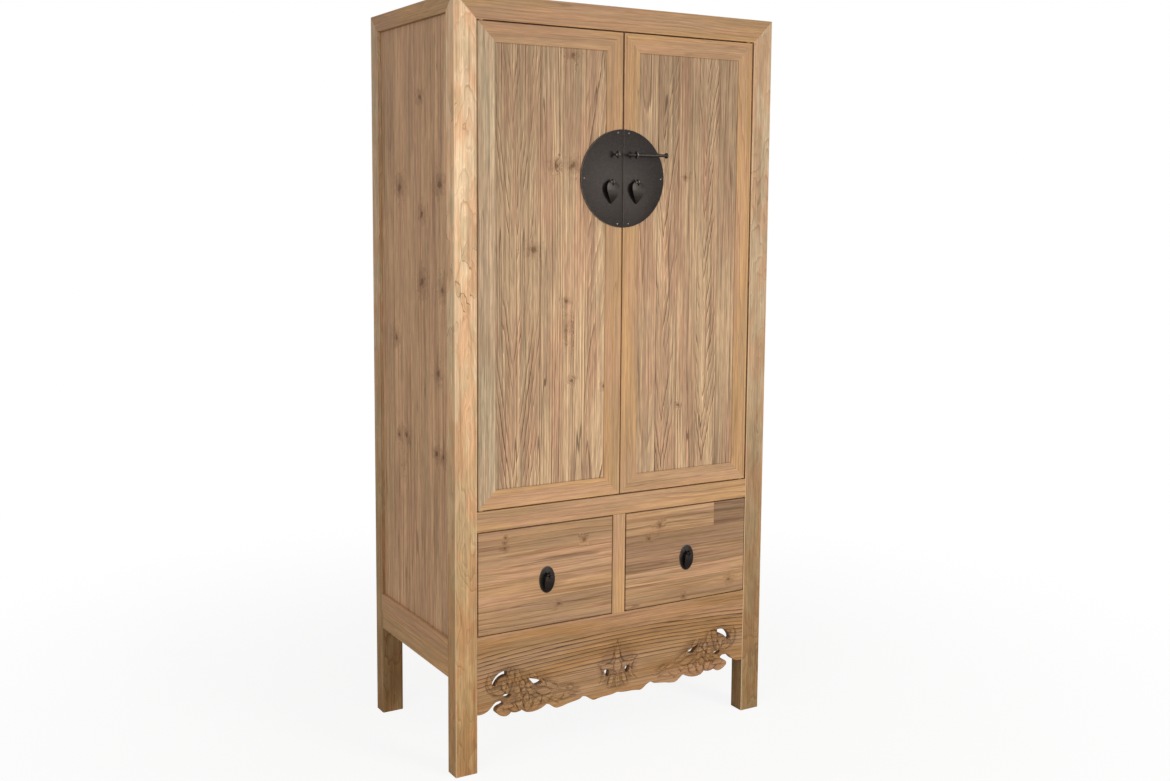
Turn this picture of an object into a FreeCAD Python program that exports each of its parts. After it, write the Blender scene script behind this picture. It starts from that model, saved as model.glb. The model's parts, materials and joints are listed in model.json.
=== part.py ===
import FreeCAD, Part
import os
from types import SimpleNamespace

import Sketcher

# A tall reclaimed-elm cabinet: two framed and boarded doors over two drawers, between four
# square posts that run down as legs, with a carved and pierced apron under the drawers.
# X runs to the right seen from the front, the front faces -Y, and Z runs up from the floor.
# The origin is on the floor, in the middle of the whole piece with its hardware.

# Driving sizes in millimetres
SIZES = {
    "overall_width": 985,
    "overall_depth": 550,
    "overall_height": 2000,
    "post_width": 62,
    "post_depth": 48,
    "top_rail_height": 62,
    "side_top_rail_height": 45,
    "side_rail_thickness": 40,
    "side_rail_height": 48,
    "side_rail_level": 308,
    "side_apron_height": 53,
    "side_apron_thickness": 18,
    "side_apron_setback": 1,
    "front_rail_depth": 40,
    "middle_rail_height": 54,
    "middle_rail_level": 642,
    "centre_stile_width": 40,
    "apron_level": 365,
    "apron_thickness": 20,
    "apron_drop_level": 130,
    "apron_arc_tolerance": 0.3,
    "apron_tongue_length": 8,
    "apron_tongue_thickness": 6,
    "apron_tongue_foot": 185,
    "apron_tongue_head": 350,
    "back_middle_rail_height": 48,
    "tenon_length": 18,
    "tenon_thickness": 10,
    "tenon_shoulder": 8,
    "fit_clearance": 0.3,
    "overrun": 5,
    "side_board_thickness": 14,
    "side_board_recess": 9,
    "top_board_thickness": 14,
    "top_board_recess": 3,
    "back_board_thickness": 12,
    "back_board_recess": 6,
    "tongue_length": 7,
    "tongue_thickness": 6,
    "floor_thickness": 14,
    "floor_rebate": 12,
    "shelf_thickness": 18,
    "shelf_drop": 648,
    "shelf_setback": 12,
    "cleat_width": 20,
    "cleat_height": 30,
    "door_gap": 3,
    "door_thickness": 24,
    "door_frame_width": 50,
    "door_edge_radius": 6,
    "door_board_recess": 1.5,
    "door_board_thickness": 12,
    "door_tongue_length": 6,
    "door_tongue_thickness": 5,
    "batten_height": 45,
    "pivot_inset": 12,
    "pivot_radius": 8,
    "pivot_clearance": 0.4,
    "top_pivot_length": 14,
    "bottom_pivot_length": 9,
    "drawer_gap": 2,
    "drawer_front_thickness": 20,
    "drawer_back_gap": 47,
    "drawer_side_thickness": 12,
    "drawer_side_drop": 53,
    "drawer_side_inset": 1,
    "drawer_housing": 6,
    "drawer_back_drop": 15,
    "drawer_bottom_thickness": 8,
    "drawer_bottom_lift": 10,
    "runner_bearing": 16,
    "runner_height": 40,
    "guide_height": 24,
    "guide_clearance": 1.5,
    "lock_plate_radius": 130,
    "lock_plate_drop": 385,
    "lock_plate_seam": 1.6,
    "plate_thickness": 2,
    "nail_head_radius": 3.5,
    "nail_head_height": 1.8,
    "nail_shank_thickness": 2,
    "nail_length": 10,
    "nail_seam_offset": 17,
    "nail_edge_inset": 10,
    "lock_eye_offset": 29,
    "lock_eye_lift": 63,
    "lock_eye_reach": 20,
    "lock_eye_play": 0.7,
    "lock_eye_strip": 5.2,
    "pull_eye_offset": 39.5,
    "pull_eye_drop": 8,
    "pull_eye_reach": 12,
    "pull_eye_play": 1.4,
    "pull_eye_strip": 3.6,
    "eye_leg_length": 12,
    "eye_leg_thickness": 2.8,
    "hole_clearance": 0.2,
    "lock_pin_length": 127,
    "lock_pin_radius": 4,
    "lock_pin_tip_radius": 2.4,
    "lock_pin_taper": 24,
    "lock_pin_knob_radius": 7.5,
    "lock_pin_knob_length": 9,
    "pull_pin_radius": 2,
    "pull_knuckle_radius": 3.4,
    "pull_knuckle_end": 8,
    "pull_slot_depth": 9,
    "pull_thickness": 2.4,
    "pull_tip_stand": 1.6,
    "door_pull_half_width": 19,
    "door_pull_length": 58,
    "door_pull_bow": 8,
    "drawer_pull_half_width": 13.5,
    "drawer_pull_length": 46,
    "drawer_pull_bow": 4,
    "drawer_plate_half_width": 23.5,
    "drawer_plate_half_height": 36.5,
    "oval_arc_tolerance": 0.1,
    "drawer_plate_drop": 12,
    "drawer_eye_lift": 16,
}

TOP_BOARDS = 3
SIDE_BOARDS = 5
BACK_BOARDS = 6
DOOR_BOARDS = 5
NAIL_HEAD_SIDES = 8

# Half of the apron's lower edge, from the middle to the post. Each stroke is one scallop or
# lobe, and strokes meet in cusps. A point is (share of the half span, share of the height
# from the lowest lobe up to the drawers).
APRON_EDGE_SHARES = (
    ((0, 0.034), (0.08, 0.017), (0.14, 0.009), (0.17, 0)),
    ((0.17, 0), (0.2, 0.018), (0.228, 0.055), (0.26, 0.072)),
    ((0.26, 0.072), (0.295, 0.042), (0.35, 0.03), (0.395, 0.013), (0.433, 0.004)),
    ((0.433, 0.004), (0.478, 0.03), (0.5, 0.06), (0.518, 0.072)),
    ((0.518, 0.072), (0.555, 0.038), (0.61, 0.017), (0.66, 0.026), (0.69, 0.064)),
    ((0.69, 0.064), (0.728, 0.047), (0.767, 0.064)),
    ((0.767, 0.064), (0.8, 0.034), (0.845, 0.055), (0.87, 0.094)),
    ((0.87, 0.094), (0.867, 0.132), (0.846, 0.155), (0.817, 0.174)),
    ((0.817, 0.174), (0.83, 0.208), (0.857, 0.217)),
    ((0.857, 0.217), (0.893, 0.191), (0.916, 0.149), (0.95, 0.117), (1, 0.11)),
)

# Pierced openings of the right half, in the same shares: each a closed round of strokes
APRON_PIERCING_SHARES = (
    (
        ((0.797, 0.553), (0.845, 0.54), (0.884, 0.483), (0.9, 0.417)),
        ((0.9, 0.417), (0.876, 0.398)),
        ((0.876, 0.398), (0.862, 0.443), (0.832, 0.485), (0.797, 0.5)),
        ((0.797, 0.5), (0.797, 0.553)),
    ),
    (
        ((0.766, 0.268), (0.795, 0.285), (0.822, 0.272)),
        ((0.822, 0.272), (0.806, 0.243), (0.784, 0.238), (0.766, 0.268)),
    ),
    (
        ((0.545, 0.345), (0.585, 0.385), (0.643, 0.413)),
        ((0.643, 0.413), (0.62, 0.362), (0.598, 0.318)),
        ((0.598, 0.318), (0.57, 0.322), (0.545, 0.345)),
    ),
    (
        ((0.062, 0.315), (0.078, 0.335), (0.096, 0.318)),
        ((0.096, 0.318), (0.088, 0.268), (0.07, 0.247)),
        ((0.07, 0.247), (0.06, 0.28), (0.062, 0.315)),
    ),
)

# Half outlines of the pulls below the hinge, as (share of half width, share of length)
LEAF_SHARES = ((0.42, 0), (0.8, 0.08), (1, 0.27), (0.78, 0.58), (0.36, 0.83), (0, 1))
OVAL_SHARES = ((0.55, 0), (0.86, 0.16), (1, 0.45), (0.8, 0.78), (0, 1))

# Door battens stand at these shares of the boarded height
BATTEN_SHARES = (0.2, 0.8)

SIDES = {"left": -1, "right": 1}


class Size:
    """A length: its value in millimetres and the sheet expression that gives it."""

    def __init__(self, value, text):
        self.value = value
        self.text = text

    def __add__(self, other):
        return Size(self.value + other.value, f"({self.text} + {other.text})")

    def __sub__(self, other):
        return Size(self.value - other.value, f"({self.text} - {other.text})")

    def __mul__(self, share):
        return Size(self.value * share, f"({self.text} * ({share}))")

    def __truediv__(self, share):
        return Size(self.value / share, f"({self.text} / ({share}))")

    def __neg__(self):
        return self * -1


def write_sheet():
    """The driving sizes, one row each, with the name of the size as its alias."""
    sheet = doc.addObject("Spreadsheet::Sheet", "Sizes")
    for row, (name, value) in enumerate(SIZES.items(), start=1):
        sheet.set(f"A{row}", name)
        sheet.set(f"B{row}", str(value))
        sheet.setAlias(f"B{row}", name)
    doc.recompute()
    return sheet


doc = FreeCAD.newDocument("Cupboard")
sheet = write_sheet()
s = SimpleNamespace(**{n: Size(float(sheet.get(n)), f"Sizes.{n}") for n in SIZES})
ZERO = Size(0, "0")
nodes = {}

# Where the main faces lie
half_width = s.overall_width / 2
opening_half = half_width - s.post_width
lock_eye_radius = s.lock_pin_radius + s.lock_eye_play + s.lock_eye_strip / 2
pull_eye_radius = s.pull_pin_radius + s.pull_eye_play + s.pull_eye_strip / 2
proud = s.plate_thickness + s.lock_eye_reach + lock_eye_radius + s.lock_eye_strip / 2
front = (proud - s.overall_depth) / 2
back = front + s.overall_depth
post_back = front + s.post_depth
back_post_front = back - s.post_depth
door_head = s.overall_height - s.top_rail_height
door_sill = s.middle_rail_level + s.middle_rail_height
side_rail_top = s.side_rail_level + s.side_rail_height
side_rail_face = half_width - s.side_rail_thickness
side_top_rail_foot = s.overall_height - s.side_top_rail_height
side_board_face = half_width - s.side_board_recess - s.side_board_thickness
back_board_front = back - s.back_board_recess - s.back_board_thickness
plate_front = front - s.plate_thickness
shelf_level = door_head - s.shelf_drop
lock_plate_level = door_head - s.lock_plate_drop
lock_eye_level = lock_plate_level + s.lock_eye_lift
pull_eye_level = lock_plate_level - s.pull_eye_drop


def span(side, inner, outer):
    """The X range between two distances from the middle, on the left (-1) or right (1)."""
    return (inner, outer) if side > 0 else (-outer, -inner)


def grown(pair, amount):
    """A range that is longer by the same amount at both ends."""
    return (pair[0] - amount, pair[1] + amount)


def middle(pair):
    return (pair[0] + pair[1]) / 2


def around(centre, width):
    """A range of this width about a centre."""
    return (centre - width / 2, centre + width / 2)


def keep(name, piece):
    """Name the finished piece, so that it is checked and written."""
    piece.Label = name
    nodes[name] = piece
    return piece


def place(piece, x, y, z):
    """Tie the position of an object to the sheet."""
    for axis, value in zip("xyz", (x, y, z)):
        piece.setExpression(f"Placement.Base.{axis}", value.text)


def box(x, y, z):
    """A squared timber between two X, two Y and two Z planes."""
    piece = doc.addObject("Part::Box", "timber")
    for side, pair in zip(("Length", "Width", "Height"), (x, y, z)):
        piece.setExpression(side, (pair[1] - pair[0]).text)
    place(piece, x[0], y[0], z[0])
    return piece


def cylinder(radius, length, start, axis):
    """A round bar from a start point along X, Y or Z."""
    piece = doc.addObject("Part::Cylinder", "bar")
    piece.setExpression("Radius", radius.text)
    piece.setExpression("Height", length.text)
    turn = FreeCAD.Rotation(FreeCAD.Vector(0, 0, 1), FreeCAD.Vector(*axis))
    piece.Placement = FreeCAD.Placement(FreeCAD.Vector(), turn)
    place(piece, *start)
    return piece


def cut(base, tools):
    """Take each tool away from the base, one after another."""
    for tool in tools:
        piece = doc.addObject("Part::Cut", "cut")
        piece.Base = base
        piece.Tool = tool
        base = piece
    return base


def fuse(pieces):
    piece = doc.addObject("Part::MultiFuse", "fused")
    piece.Shapes = pieces
    return piece


def common(first, second):
    piece = doc.addObject("Part::Common", "common")
    piece.Base = first
    piece.Tool = second
    return piece


def group(pieces):
    """Several loose solids that share one name."""
    piece = doc.addObject("Part::Compound", "group")
    piece.Links = pieces
    return piece


def draw(name, plane, points):
    """A body with one closed polygon drawn on a main plane, each corner tied to the sheet."""
    body = doc.addObject("PartDesign::Body", name)
    role = f"{plane}_Plane"
    support = [f for f in body.Origin.OriginFeatures if f.Role == role][0]
    sketch = body.newObject("Sketcher::SketchObject", "outline")
    sketch.AttachmentSupport = [(support, "")]
    sketch.MapMode = "FlatFace"
    count = len(points)
    corners = [FreeCAD.Vector(u.value, v.value, 0) for u, v in points]
    for i in range(count):
        sketch.addGeometry(Part.LineSegment(corners[i], corners[(i + 1) % count]), False)
    for i in range(count):
        sketch.addConstraint(Sketcher.Constraint("Coincident", i, 2, (i + 1) % count, 1))
    for i, point in enumerate(points):
        for kind, value in zip(("DistanceX", "DistanceY"), point):
            rule = Sketcher.Constraint(kind, -1, 1, i, 1, value.value)
            number = sketch.addConstraint(rule)
            sketch.setExpression(f"Constraints[{number}]", value.text)
    return body, sketch


def prism(plane, points, ends):
    """A board of polygon outline, padded between two depths."""
    body, sketch = draw("board", plane, points)
    # the XZ plane looks along -Y, so its board is drawn at the far depth
    offset = -ends[1] if plane == "XZ" else ends[0]
    sketch.setExpression("AttachmentOffset.Base.z", offset.text)
    pad = body.newObject("PartDesign::Pad", "thickness")
    pad.Profile = sketch
    pad.setExpression("Length", (ends[1] - ends[0]).text)
    return body


def loose(name, shape):
    """A piece whose shape is worked out in this file from the sheet's sizes."""
    piece = doc.addObject("Part::Feature", name)
    piece.Shape = shape
    piece.Placement = FreeCAD.Placement()
    return piece


# Mortises and grooves that each piece receives from its neighbours
sockets = {}


def receive(names, tool):
    for name in names:
        sockets.setdefault(name, []).append(tool)


def rail_along_x(name, x, y, z, hosts):
    """A rail between posts, with a stub tenon at each end and mortises in its hosts."""
    thick = around(middle(y), s.tenon_thickness)
    high = grown(z, -s.tenon_shoulder)
    tenon = box(grown(x, s.tenon_length), thick, high)
    length = grown(x, s.tenon_length + s.fit_clearance)
    mortise = box(length, grown(thick, s.fit_clearance), grown(high, s.fit_clearance))
    receive(hosts, mortise)
    return fuse([box(x, y, z), tenon])


def rail_along_y(name, x, y, z, hosts):
    """A side rail between a front and a back post, tenoned in the same way."""
    thick = around(middle(x), s.tenon_thickness)
    high = grown(z, -s.tenon_shoulder)
    tenon = box(thick, grown(y, s.tenon_length), high)
    length = grown(y, s.tenon_length + s.fit_clearance)
    mortise = box(grown(thick, s.fit_clearance), length, grown(high, s.fit_clearance))
    receive(hosts, mortise)
    return fuse([box(x, y, z), tenon])


def boards(along, across, thickness, tongue, count, tongue_length):
    """Boards side by side, thinned to a tongue on the outside edges of the whole panel.

    along, across and thickness are (axis letter, range); the boards split the across range.
    """
    pieces = []
    step = (across[1][1] - across[1][0]) / count
    for i in range(count):
        low = across[1][0] + step * i
        high = across[1][0] + step * (i + 1)
        core = {along[0]: along[1], across[0]: (low, high), thickness[0]: thickness[1]}
        edge_low = low - tongue_length if i == 0 else low
        edge_high = high + tongue_length if i == count - 1 else high
        edge = {
            along[0]: grown(along[1], tongue_length),
            across[0]: (edge_low, edge_high),
            thickness[0]: tongue,
        }
        pieces.append(fuse([box(**core), box(**edge)]))
    return group(pieces)


def groove(along, across, tongue, tongue_length):
    """The room that the tongues of a panel need in the frame around it."""
    room = tongue_length + s.fit_clearance
    return box(
        **{
            along[0]: grown(along[1], room),
            across[0]: grown(across[1], room),
            tongue[0]: grown(tongue[1], s.fit_clearance),
        }
    )


def post_names(side):
    return [f"front_{side}_post", f"back_{side}_post"]


def side_panels():
    """Each end of the case: a boarded panel between two rails, and a plain apron below."""
    depth = (post_back, back_post_front)
    for side, sign in SIDES.items():
        rails = [f"{side}_top_rail", f"{side}_bottom_rail"]
        across = ("y", depth)
        along = ("z", (side_rail_top, side_top_rail_foot))
        outer_face = side_board_face + s.side_board_thickness
        thickness = span(sign, side_board_face, outer_face)
        tongue = around(middle(thickness), s.tongue_thickness)
        panel = boards(
            along, across, ("x", thickness), tongue, SIDE_BOARDS, s.tongue_length
        )
        keep(f"{side}_side_boards", panel)
        receive(rails + post_names(side), groove(along, across, ("x", tongue), s.tongue_length))

        x = span(sign, side_rail_face, half_width)
        z = (s.side_rail_level, side_rail_top)
        name = f"{side}_bottom_rail"
        rail = rail_along_y(name, x, depth, z, post_names(side))
        keep(name, cut(rail, sockets[name]))

        outer = half_width - s.side_apron_setback
        x = span(sign, outer - s.side_apron_thickness, outer)
        z = (s.side_rail_level - s.side_apron_height, s.side_rail_level)
        apron = rail_along_y(f"{side}_side_apron", x, depth, z, post_names(side))
        keep(f"{side}_side_apron", apron)


def top_boards():
    """The top: boards from end to end, tongued into the four top rails."""
    level = s.overall_height - s.top_board_recess
    thickness = (level - s.top_board_thickness, level)
    tongue = around(middle(thickness), s.tongue_thickness)
    along = ("x", (-side_rail_face, side_rail_face))
    across = ("y", (post_back, back_post_front))
    panel = boards(along, across, ("z", thickness), tongue, TOP_BOARDS, s.tongue_length)
    keep("top_boards", panel)
    rails = ["front_top_rail", "back_top_rail", "left_top_rail", "right_top_rail"]
    tool = groove(along, across, ("z", tongue), s.tongue_length)
    receive(rails + post_names("left") + post_names("right"), tool)


def back_boards():
    """The back: upright boards, tongued into the back posts and rails."""
    thickness = (back_board_front, back_board_front + s.back_board_thickness)
    tongue = around(middle(thickness), s.tongue_thickness)
    along = ("z", (side_rail_top, door_head))
    across = ("x", (-opening_half, opening_half))
    panel = boards(along, across, ("y", thickness), tongue, BACK_BOARDS, s.tongue_length)
    keep("back_boards", panel)
    hosts = ["back_top_rail", "back_bottom_rail", "back_left_post", "back_right_post"]
    receive(hosts, groove(along, across, ("y", tongue), s.tongue_length))


def top_rails():
    """Four top rails that meet the posts and each other in three-way mitres."""
    top = s.overall_height
    sockets["front_top_rail"] += door_sockets(door_head, s.top_pivot_length, 1)
    for name, outer, inner, depth in (
        ("front_top_rail", front, post_back, (front, post_back)),
        ("back_top_rail", back, back_post_front, (back_post_front, back)),
    ):
        face = prism(
            "XZ",
            (
                (-half_width, top),
                (half_width, top),
                (opening_half, door_head),
                (-opening_half, door_head),
            ),
            depth,
        )
        plan = prism(
            "XY",
            (
                (-half_width, outer),
                (half_width, outer),
                (opening_half, inner),
                (-opening_half, inner),
            ),
            (door_head, top),
        )
        keep(name, cut(common(face, plan), sockets[name]))

    for side, sign in SIDES.items():
        name = f"{side}_top_rail"
        face = prism(
            "YZ",
            (
                (front, top),
                (back, top),
                (back_post_front, side_top_rail_foot),
                (post_back, side_top_rail_foot),
            ),
            span(sign, side_rail_face, half_width),
        )
        plan = prism(
            "XY",
            (
                (half_width * sign, front),
                (half_width * sign, back),
                (opening_half * sign, back_post_front),
                (opening_half * sign, post_back),
            ),
            (side_top_rail_foot, top),
        )
        keep(name, cut(common(face, plan), sockets[name]))


def door_sockets(level, depth, direction):
    """The two round sockets that the door pivots turn in, up or down from a rail's face."""
    tools = []
    radius = s.pivot_radius + s.pivot_clearance
    length = depth + s.fit_clearance
    for sign in SIDES.values():
        x = (opening_half - s.door_gap - s.pivot_inset) * sign
        start = (x, front + s.door_thickness / 2, level)
        tools.append(cylinder(radius, length, start, (0, 0, direction)))
    return tools


def front_rails():
    """The rail between doors and drawers, the stile between the drawers, and the rail
    behind the apron that carries the drawer runners."""
    hosts = ["front_left_post", "front_right_post"]
    opening = (-opening_half, opening_half)

    z = (s.middle_rail_level, door_sill)
    rail = rail_along_x("middle_rail", opening, (front, front + s.front_rail_depth), z, hosts)
    rebate_front = front + s.front_rail_depth - s.floor_rebate
    rebate = box(
        grown(opening, -s.fit_clearance),
        (rebate_front, front + s.front_rail_depth + s.overrun),
        (door_sill - s.floor_thickness, door_sill + s.overrun),
    )
    y = (front + s.apron_thickness, post_back)
    z = (s.apron_level - s.side_rail_height, s.apron_level)
    lower = rail_along_x("inner_bottom_rail", opening, y, z, hosts)

    # the stile's tenons stand behind the apron, in the rails above and below
    width = around(ZERO, s.centre_stile_width)
    thick = around(middle(y), s.tenon_thickness)
    inset = grown(width, -s.tenon_shoulder)
    z = (s.apron_level, s.middle_rail_level)
    tenon = box(inset, thick, grown(z, s.tenon_length))
    stile = box(width, (front, front + s.front_rail_depth), z)
    keep("centre_stile", fuse([stile, tenon]))
    mortise = box(
        grown(inset, s.fit_clearance),
        grown(thick, s.fit_clearance),
        grown(z, s.tenon_length + s.fit_clearance),
    )
    tools = [rebate, mortise] + door_sockets(door_sill, s.bottom_pivot_length, -1)
    keep("middle_rail", cut(rail, tools))
    keep("inner_bottom_rail", cut(lower, [mortise]))


def back_rails():
    """The two plain rails of the back: one under the boards, one under the floor."""
    hosts = ["back_left_post", "back_right_post"]
    opening = (-opening_half, opening_half)
    z = (s.side_rail_level, side_rail_top)
    rail = rail_along_x("back_bottom_rail", opening, (back_post_front, back), z, hosts)
    keep("back_bottom_rail", cut(rail, sockets["back_bottom_rail"]))

    floor_foot = door_sill - s.floor_thickness
    z = (floor_foot - s.back_middle_rail_height, floor_foot)
    y = (back_post_front, back_board_front)
    keep("back_middle_rail", rail_along_x("back_middle_rail", opening, y, z, hosts))


def smooth_arcs(points, tolerance):
    """A run of arcs that meet smoothly and follow the points."""
    curve = Part.BSplineCurve()
    curve.interpolate(points)
    return [arc.toShape() for arc in curve.toBiArcs(tolerance.value)]


def stroke_edges(strokes, x_scale, z_scale, z_foot, y):
    """Smooth edges through the points of each stroke, on one upright plane."""
    edges = []
    for stroke in strokes:
        points = [FreeCAD.Vector(u * x_scale, y, z_foot + v * z_scale) for u, v in stroke]
        if len(points) == 2:
            edges.append(Part.makeLine(points[0], points[1]))
        else:
            edges += smooth_arcs(points, s.apron_arc_tolerance)
    return edges


def mirrored(strokes):
    """The same strokes on the other side of the middle, in running order."""
    return [[(-u, v) for u, v in reversed(stroke)] for stroke in reversed(strokes)]


def carved_apron():
    """One wide board under the drawers: its lower edge is sawn in scallops, flower lobes and
    an end block, and eight openings are pierced through it."""
    half = opening_half.value
    foot = s.apron_drop_level.value
    height = s.apron_level.value - foot
    face = front.value
    lower = mirrored(APRON_EDGE_SHARES) + list(APRON_EDGE_SHARES)
    edges = stroke_edges(lower, half, height, foot, face)
    end_share = APRON_EDGE_SHARES[-1][-1][1]
    end_level = foot + end_share * height
    corners = [
        FreeCAD.Vector(half, face, end_level),
        FreeCAD.Vector(half, face, s.apron_level.value),
        FreeCAD.Vector(-half, face, s.apron_level.value),
        FreeCAD.Vector(-half, face, end_level),
    ]
    edges += [Part.makeLine(a, b) for a, b in zip(corners, corners[1:])]
    deep = FreeCAD.Vector(0, s.apron_thickness.value, 0)
    board = Part.Face(Part.Wire(Part.__sortEdges__(edges))).extrude(deep)
    for strokes in APRON_PIERCING_SHARES:
        for outline in (strokes, mirrored(strokes)):
            ring = stroke_edges(outline, half, height, foot, face)
            board = board.cut(Part.Face(Part.Wire(Part.__sortEdges__(ring))).extrude(deep))

    # a thin tongue at each end stands in the posts
    y = around(front + s.apron_thickness / 2, s.apron_tongue_thickness)
    z = (s.apron_tongue_foot, s.apron_tongue_head)
    x = grown((-opening_half, opening_half), s.apron_tongue_length)
    tongues = cut(box(x, y, z), [box((-opening_half, opening_half), y, z)])
    keep("carved_apron", fuse([loose("apron_board", board), tongues]))
    mortise = box(
        grown(x, s.fit_clearance), grown(y, s.fit_clearance), grown(z, s.fit_clearance)
    )
    receive(["front_left_post", "front_right_post"], mortise)


def posts():
    """Four posts that run down as legs, cut to receive the rails, boards and tongues."""
    for end, depth in (
        ("front", (front, post_back)),
        ("back", (back_post_front, back)),
    ):
        for side, sign in SIDES.items():
            name = f"{end}_{side}_post"
            x = span(sign, opening_half, half_width)
            square = box(x, depth, (ZERO, s.overall_height))
            tops = [nodes[f"{end}_top_rail"], nodes[f"{side}_top_rail"]]
            keep(name, cut(square, tops + sockets[name]))


def post_clearances(room):
    """The room that a shelf or floor leaves around the posts."""
    tools = []
    height = (ZERO - s.overrun, s.overall_height + s.overrun)
    for depth in ((front - s.overrun, post_back + room), (back_post_front - room, back)):
        for sign in SIDES.values():
            x = span(sign, opening_half - room, half_width + s.overrun)
            tools.append(box(x, depth, height))
    return tools


def inside():
    """The floor over the drawers, one shelf, and the cleats that carry it."""
    room = s.fit_clearance
    reach = side_board_face - room
    start = front + s.front_rail_depth - s.floor_rebate + room
    z = (door_sill - s.floor_thickness, door_sill)
    floor = box((-reach, reach), (start, back_board_front - room), z)
    keep("cupboard_floor", cut(floor, post_clearances(room)))

    z = (shelf_level, shelf_level + s.shelf_thickness)
    start = post_back + s.shelf_setback
    shelf = box((-reach, reach), (start, back_board_front - room), z)
    keep("shelf", cut(shelf, post_clearances(room)))

    cleats = []
    for sign in SIDES.values():
        x = span(sign, side_board_face - s.cleat_width, side_board_face)
        z = (shelf_level - s.cleat_height, shelf_level)
        cleats.append(box(x, (post_back, back_post_front), z))
    keep("shelf_cleats", group(cleats))


# The drawers' own faces, as distances from the middle and levels
drawer_inner = s.centre_stile_width / 2 + s.drawer_gap
drawer_outer = opening_half - s.drawer_gap
drawer_foot = s.apron_level + s.drawer_gap
drawer_head = s.middle_rail_level - s.drawer_gap
side_inner = drawer_inner + s.drawer_side_inset
side_outer = drawer_outer - s.drawer_side_inset


def drawer_runners():
    """Two side runners and a middle one: ledges for the drawers, with upright guides."""
    top = drawer_foot - s.fit_clearance
    foot = top - s.runner_height
    head = top + s.guide_height
    ledge = side_outer - s.runner_bearing
    guide = side_outer + s.guide_clearance
    depth = (post_back, back_post_front)
    runners = []
    for sign in SIDES.values():
        points = (
            (ledge * sign, foot),
            (side_rail_face * sign, foot),
            (side_rail_face * sign, head),
            (guide * sign, head),
            (guide * sign, top),
            (ledge * sign, top),
        )
        runners.append(prism("XZ", points, depth))
    ledge = side_inner + s.runner_bearing
    guide = side_inner - s.guide_clearance
    points = (
        (-ledge, foot),
        (ledge, foot),
        (ledge, top),
        (guide, top),
        (guide, head),
        (-guide, head),
        (-guide, top),
        (-ledge, top),
    )
    runners.append(prism("XZ", points, depth))
    keep("drawer_runners", group(runners))


def eye(x, level, surface, reach, radius, strip, board_back):
    """A cotter eye bent from strip: a ring that stands out from the surface, a square stem
    through the board and two legs clenched on its back. Returns the eye and its hole."""
    centre = surface - reach
    near = x - strip / 2
    rim = cylinder(radius + strip / 2, strip, (near, centre, level), (1, 0, 0))
    inside_radius = radius - strip / 2
    start = (near - s.overrun, centre, level)
    gap = cylinder(inside_radius, strip + s.overrun * 2, start, (1, 0, 0))
    leg = s.eye_leg_thickness
    end = board_back + leg
    stem = box(around(x, strip), (centre + radius, end), around(level, strip))
    legs = box(around(x, leg), (board_back, end), around(level, s.eye_leg_length * 2))
    width = strip + s.hole_clearance * 2
    depth = grown((surface, board_back), s.overrun)
    hole = box(around(x, width), depth, around(level, width))
    return fuse([cut(rim, [gap]), stem, legs]), hole


def nail(x, level, surface):
    """A forged nail: a faceted head on a square shank. Returns the nail and its hole."""
    head = doc.addObject("Part::Prism", "head")
    head.Polygon = NAIL_HEAD_SIDES
    head.setExpression("Circumradius", s.nail_head_radius.text)
    head.setExpression("Height", s.nail_head_height.text)
    turn = FreeCAD.Rotation(FreeCAD.Vector(0, 0, 1), FreeCAD.Vector(0, -1, 0))
    head.Placement = FreeCAD.Placement(FreeCAD.Vector(), turn)
    place(head, x, surface, level)
    thick = s.nail_shank_thickness
    shank = box(around(x, thick), (surface, surface + s.nail_length), around(level, thick))
    width = thick + s.hole_clearance * 2
    depth = (surface - s.overrun, surface + s.nail_length + s.fit_clearance)
    hole = box(around(x, width), depth, around(level, width))
    return fuse([head, shank]), hole


def outline_face(shares, half_width_value, length, pointed, x, level, y):
    """The front outline of a pull, hung from its hinge, as a face on an upright plane."""
    right = [
        FreeCAD.Vector(x + u * half_width_value, y, level - v * length) for u, v in shares
    ]
    left = [FreeCAD.Vector(2 * x - p.x, y, p.z) for p in reversed(right)]
    runs = [right, left] if pointed else [right + left[1:]]
    edges = []
    for run in runs:
        curve = Part.BSplineCurve()
        curve.interpolate(run)
        edges.append(curve.toShape())
    edges.append(Part.makeLine(left[-1], right[0]))
    return Part.Face(Part.Wire(edges))


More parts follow.
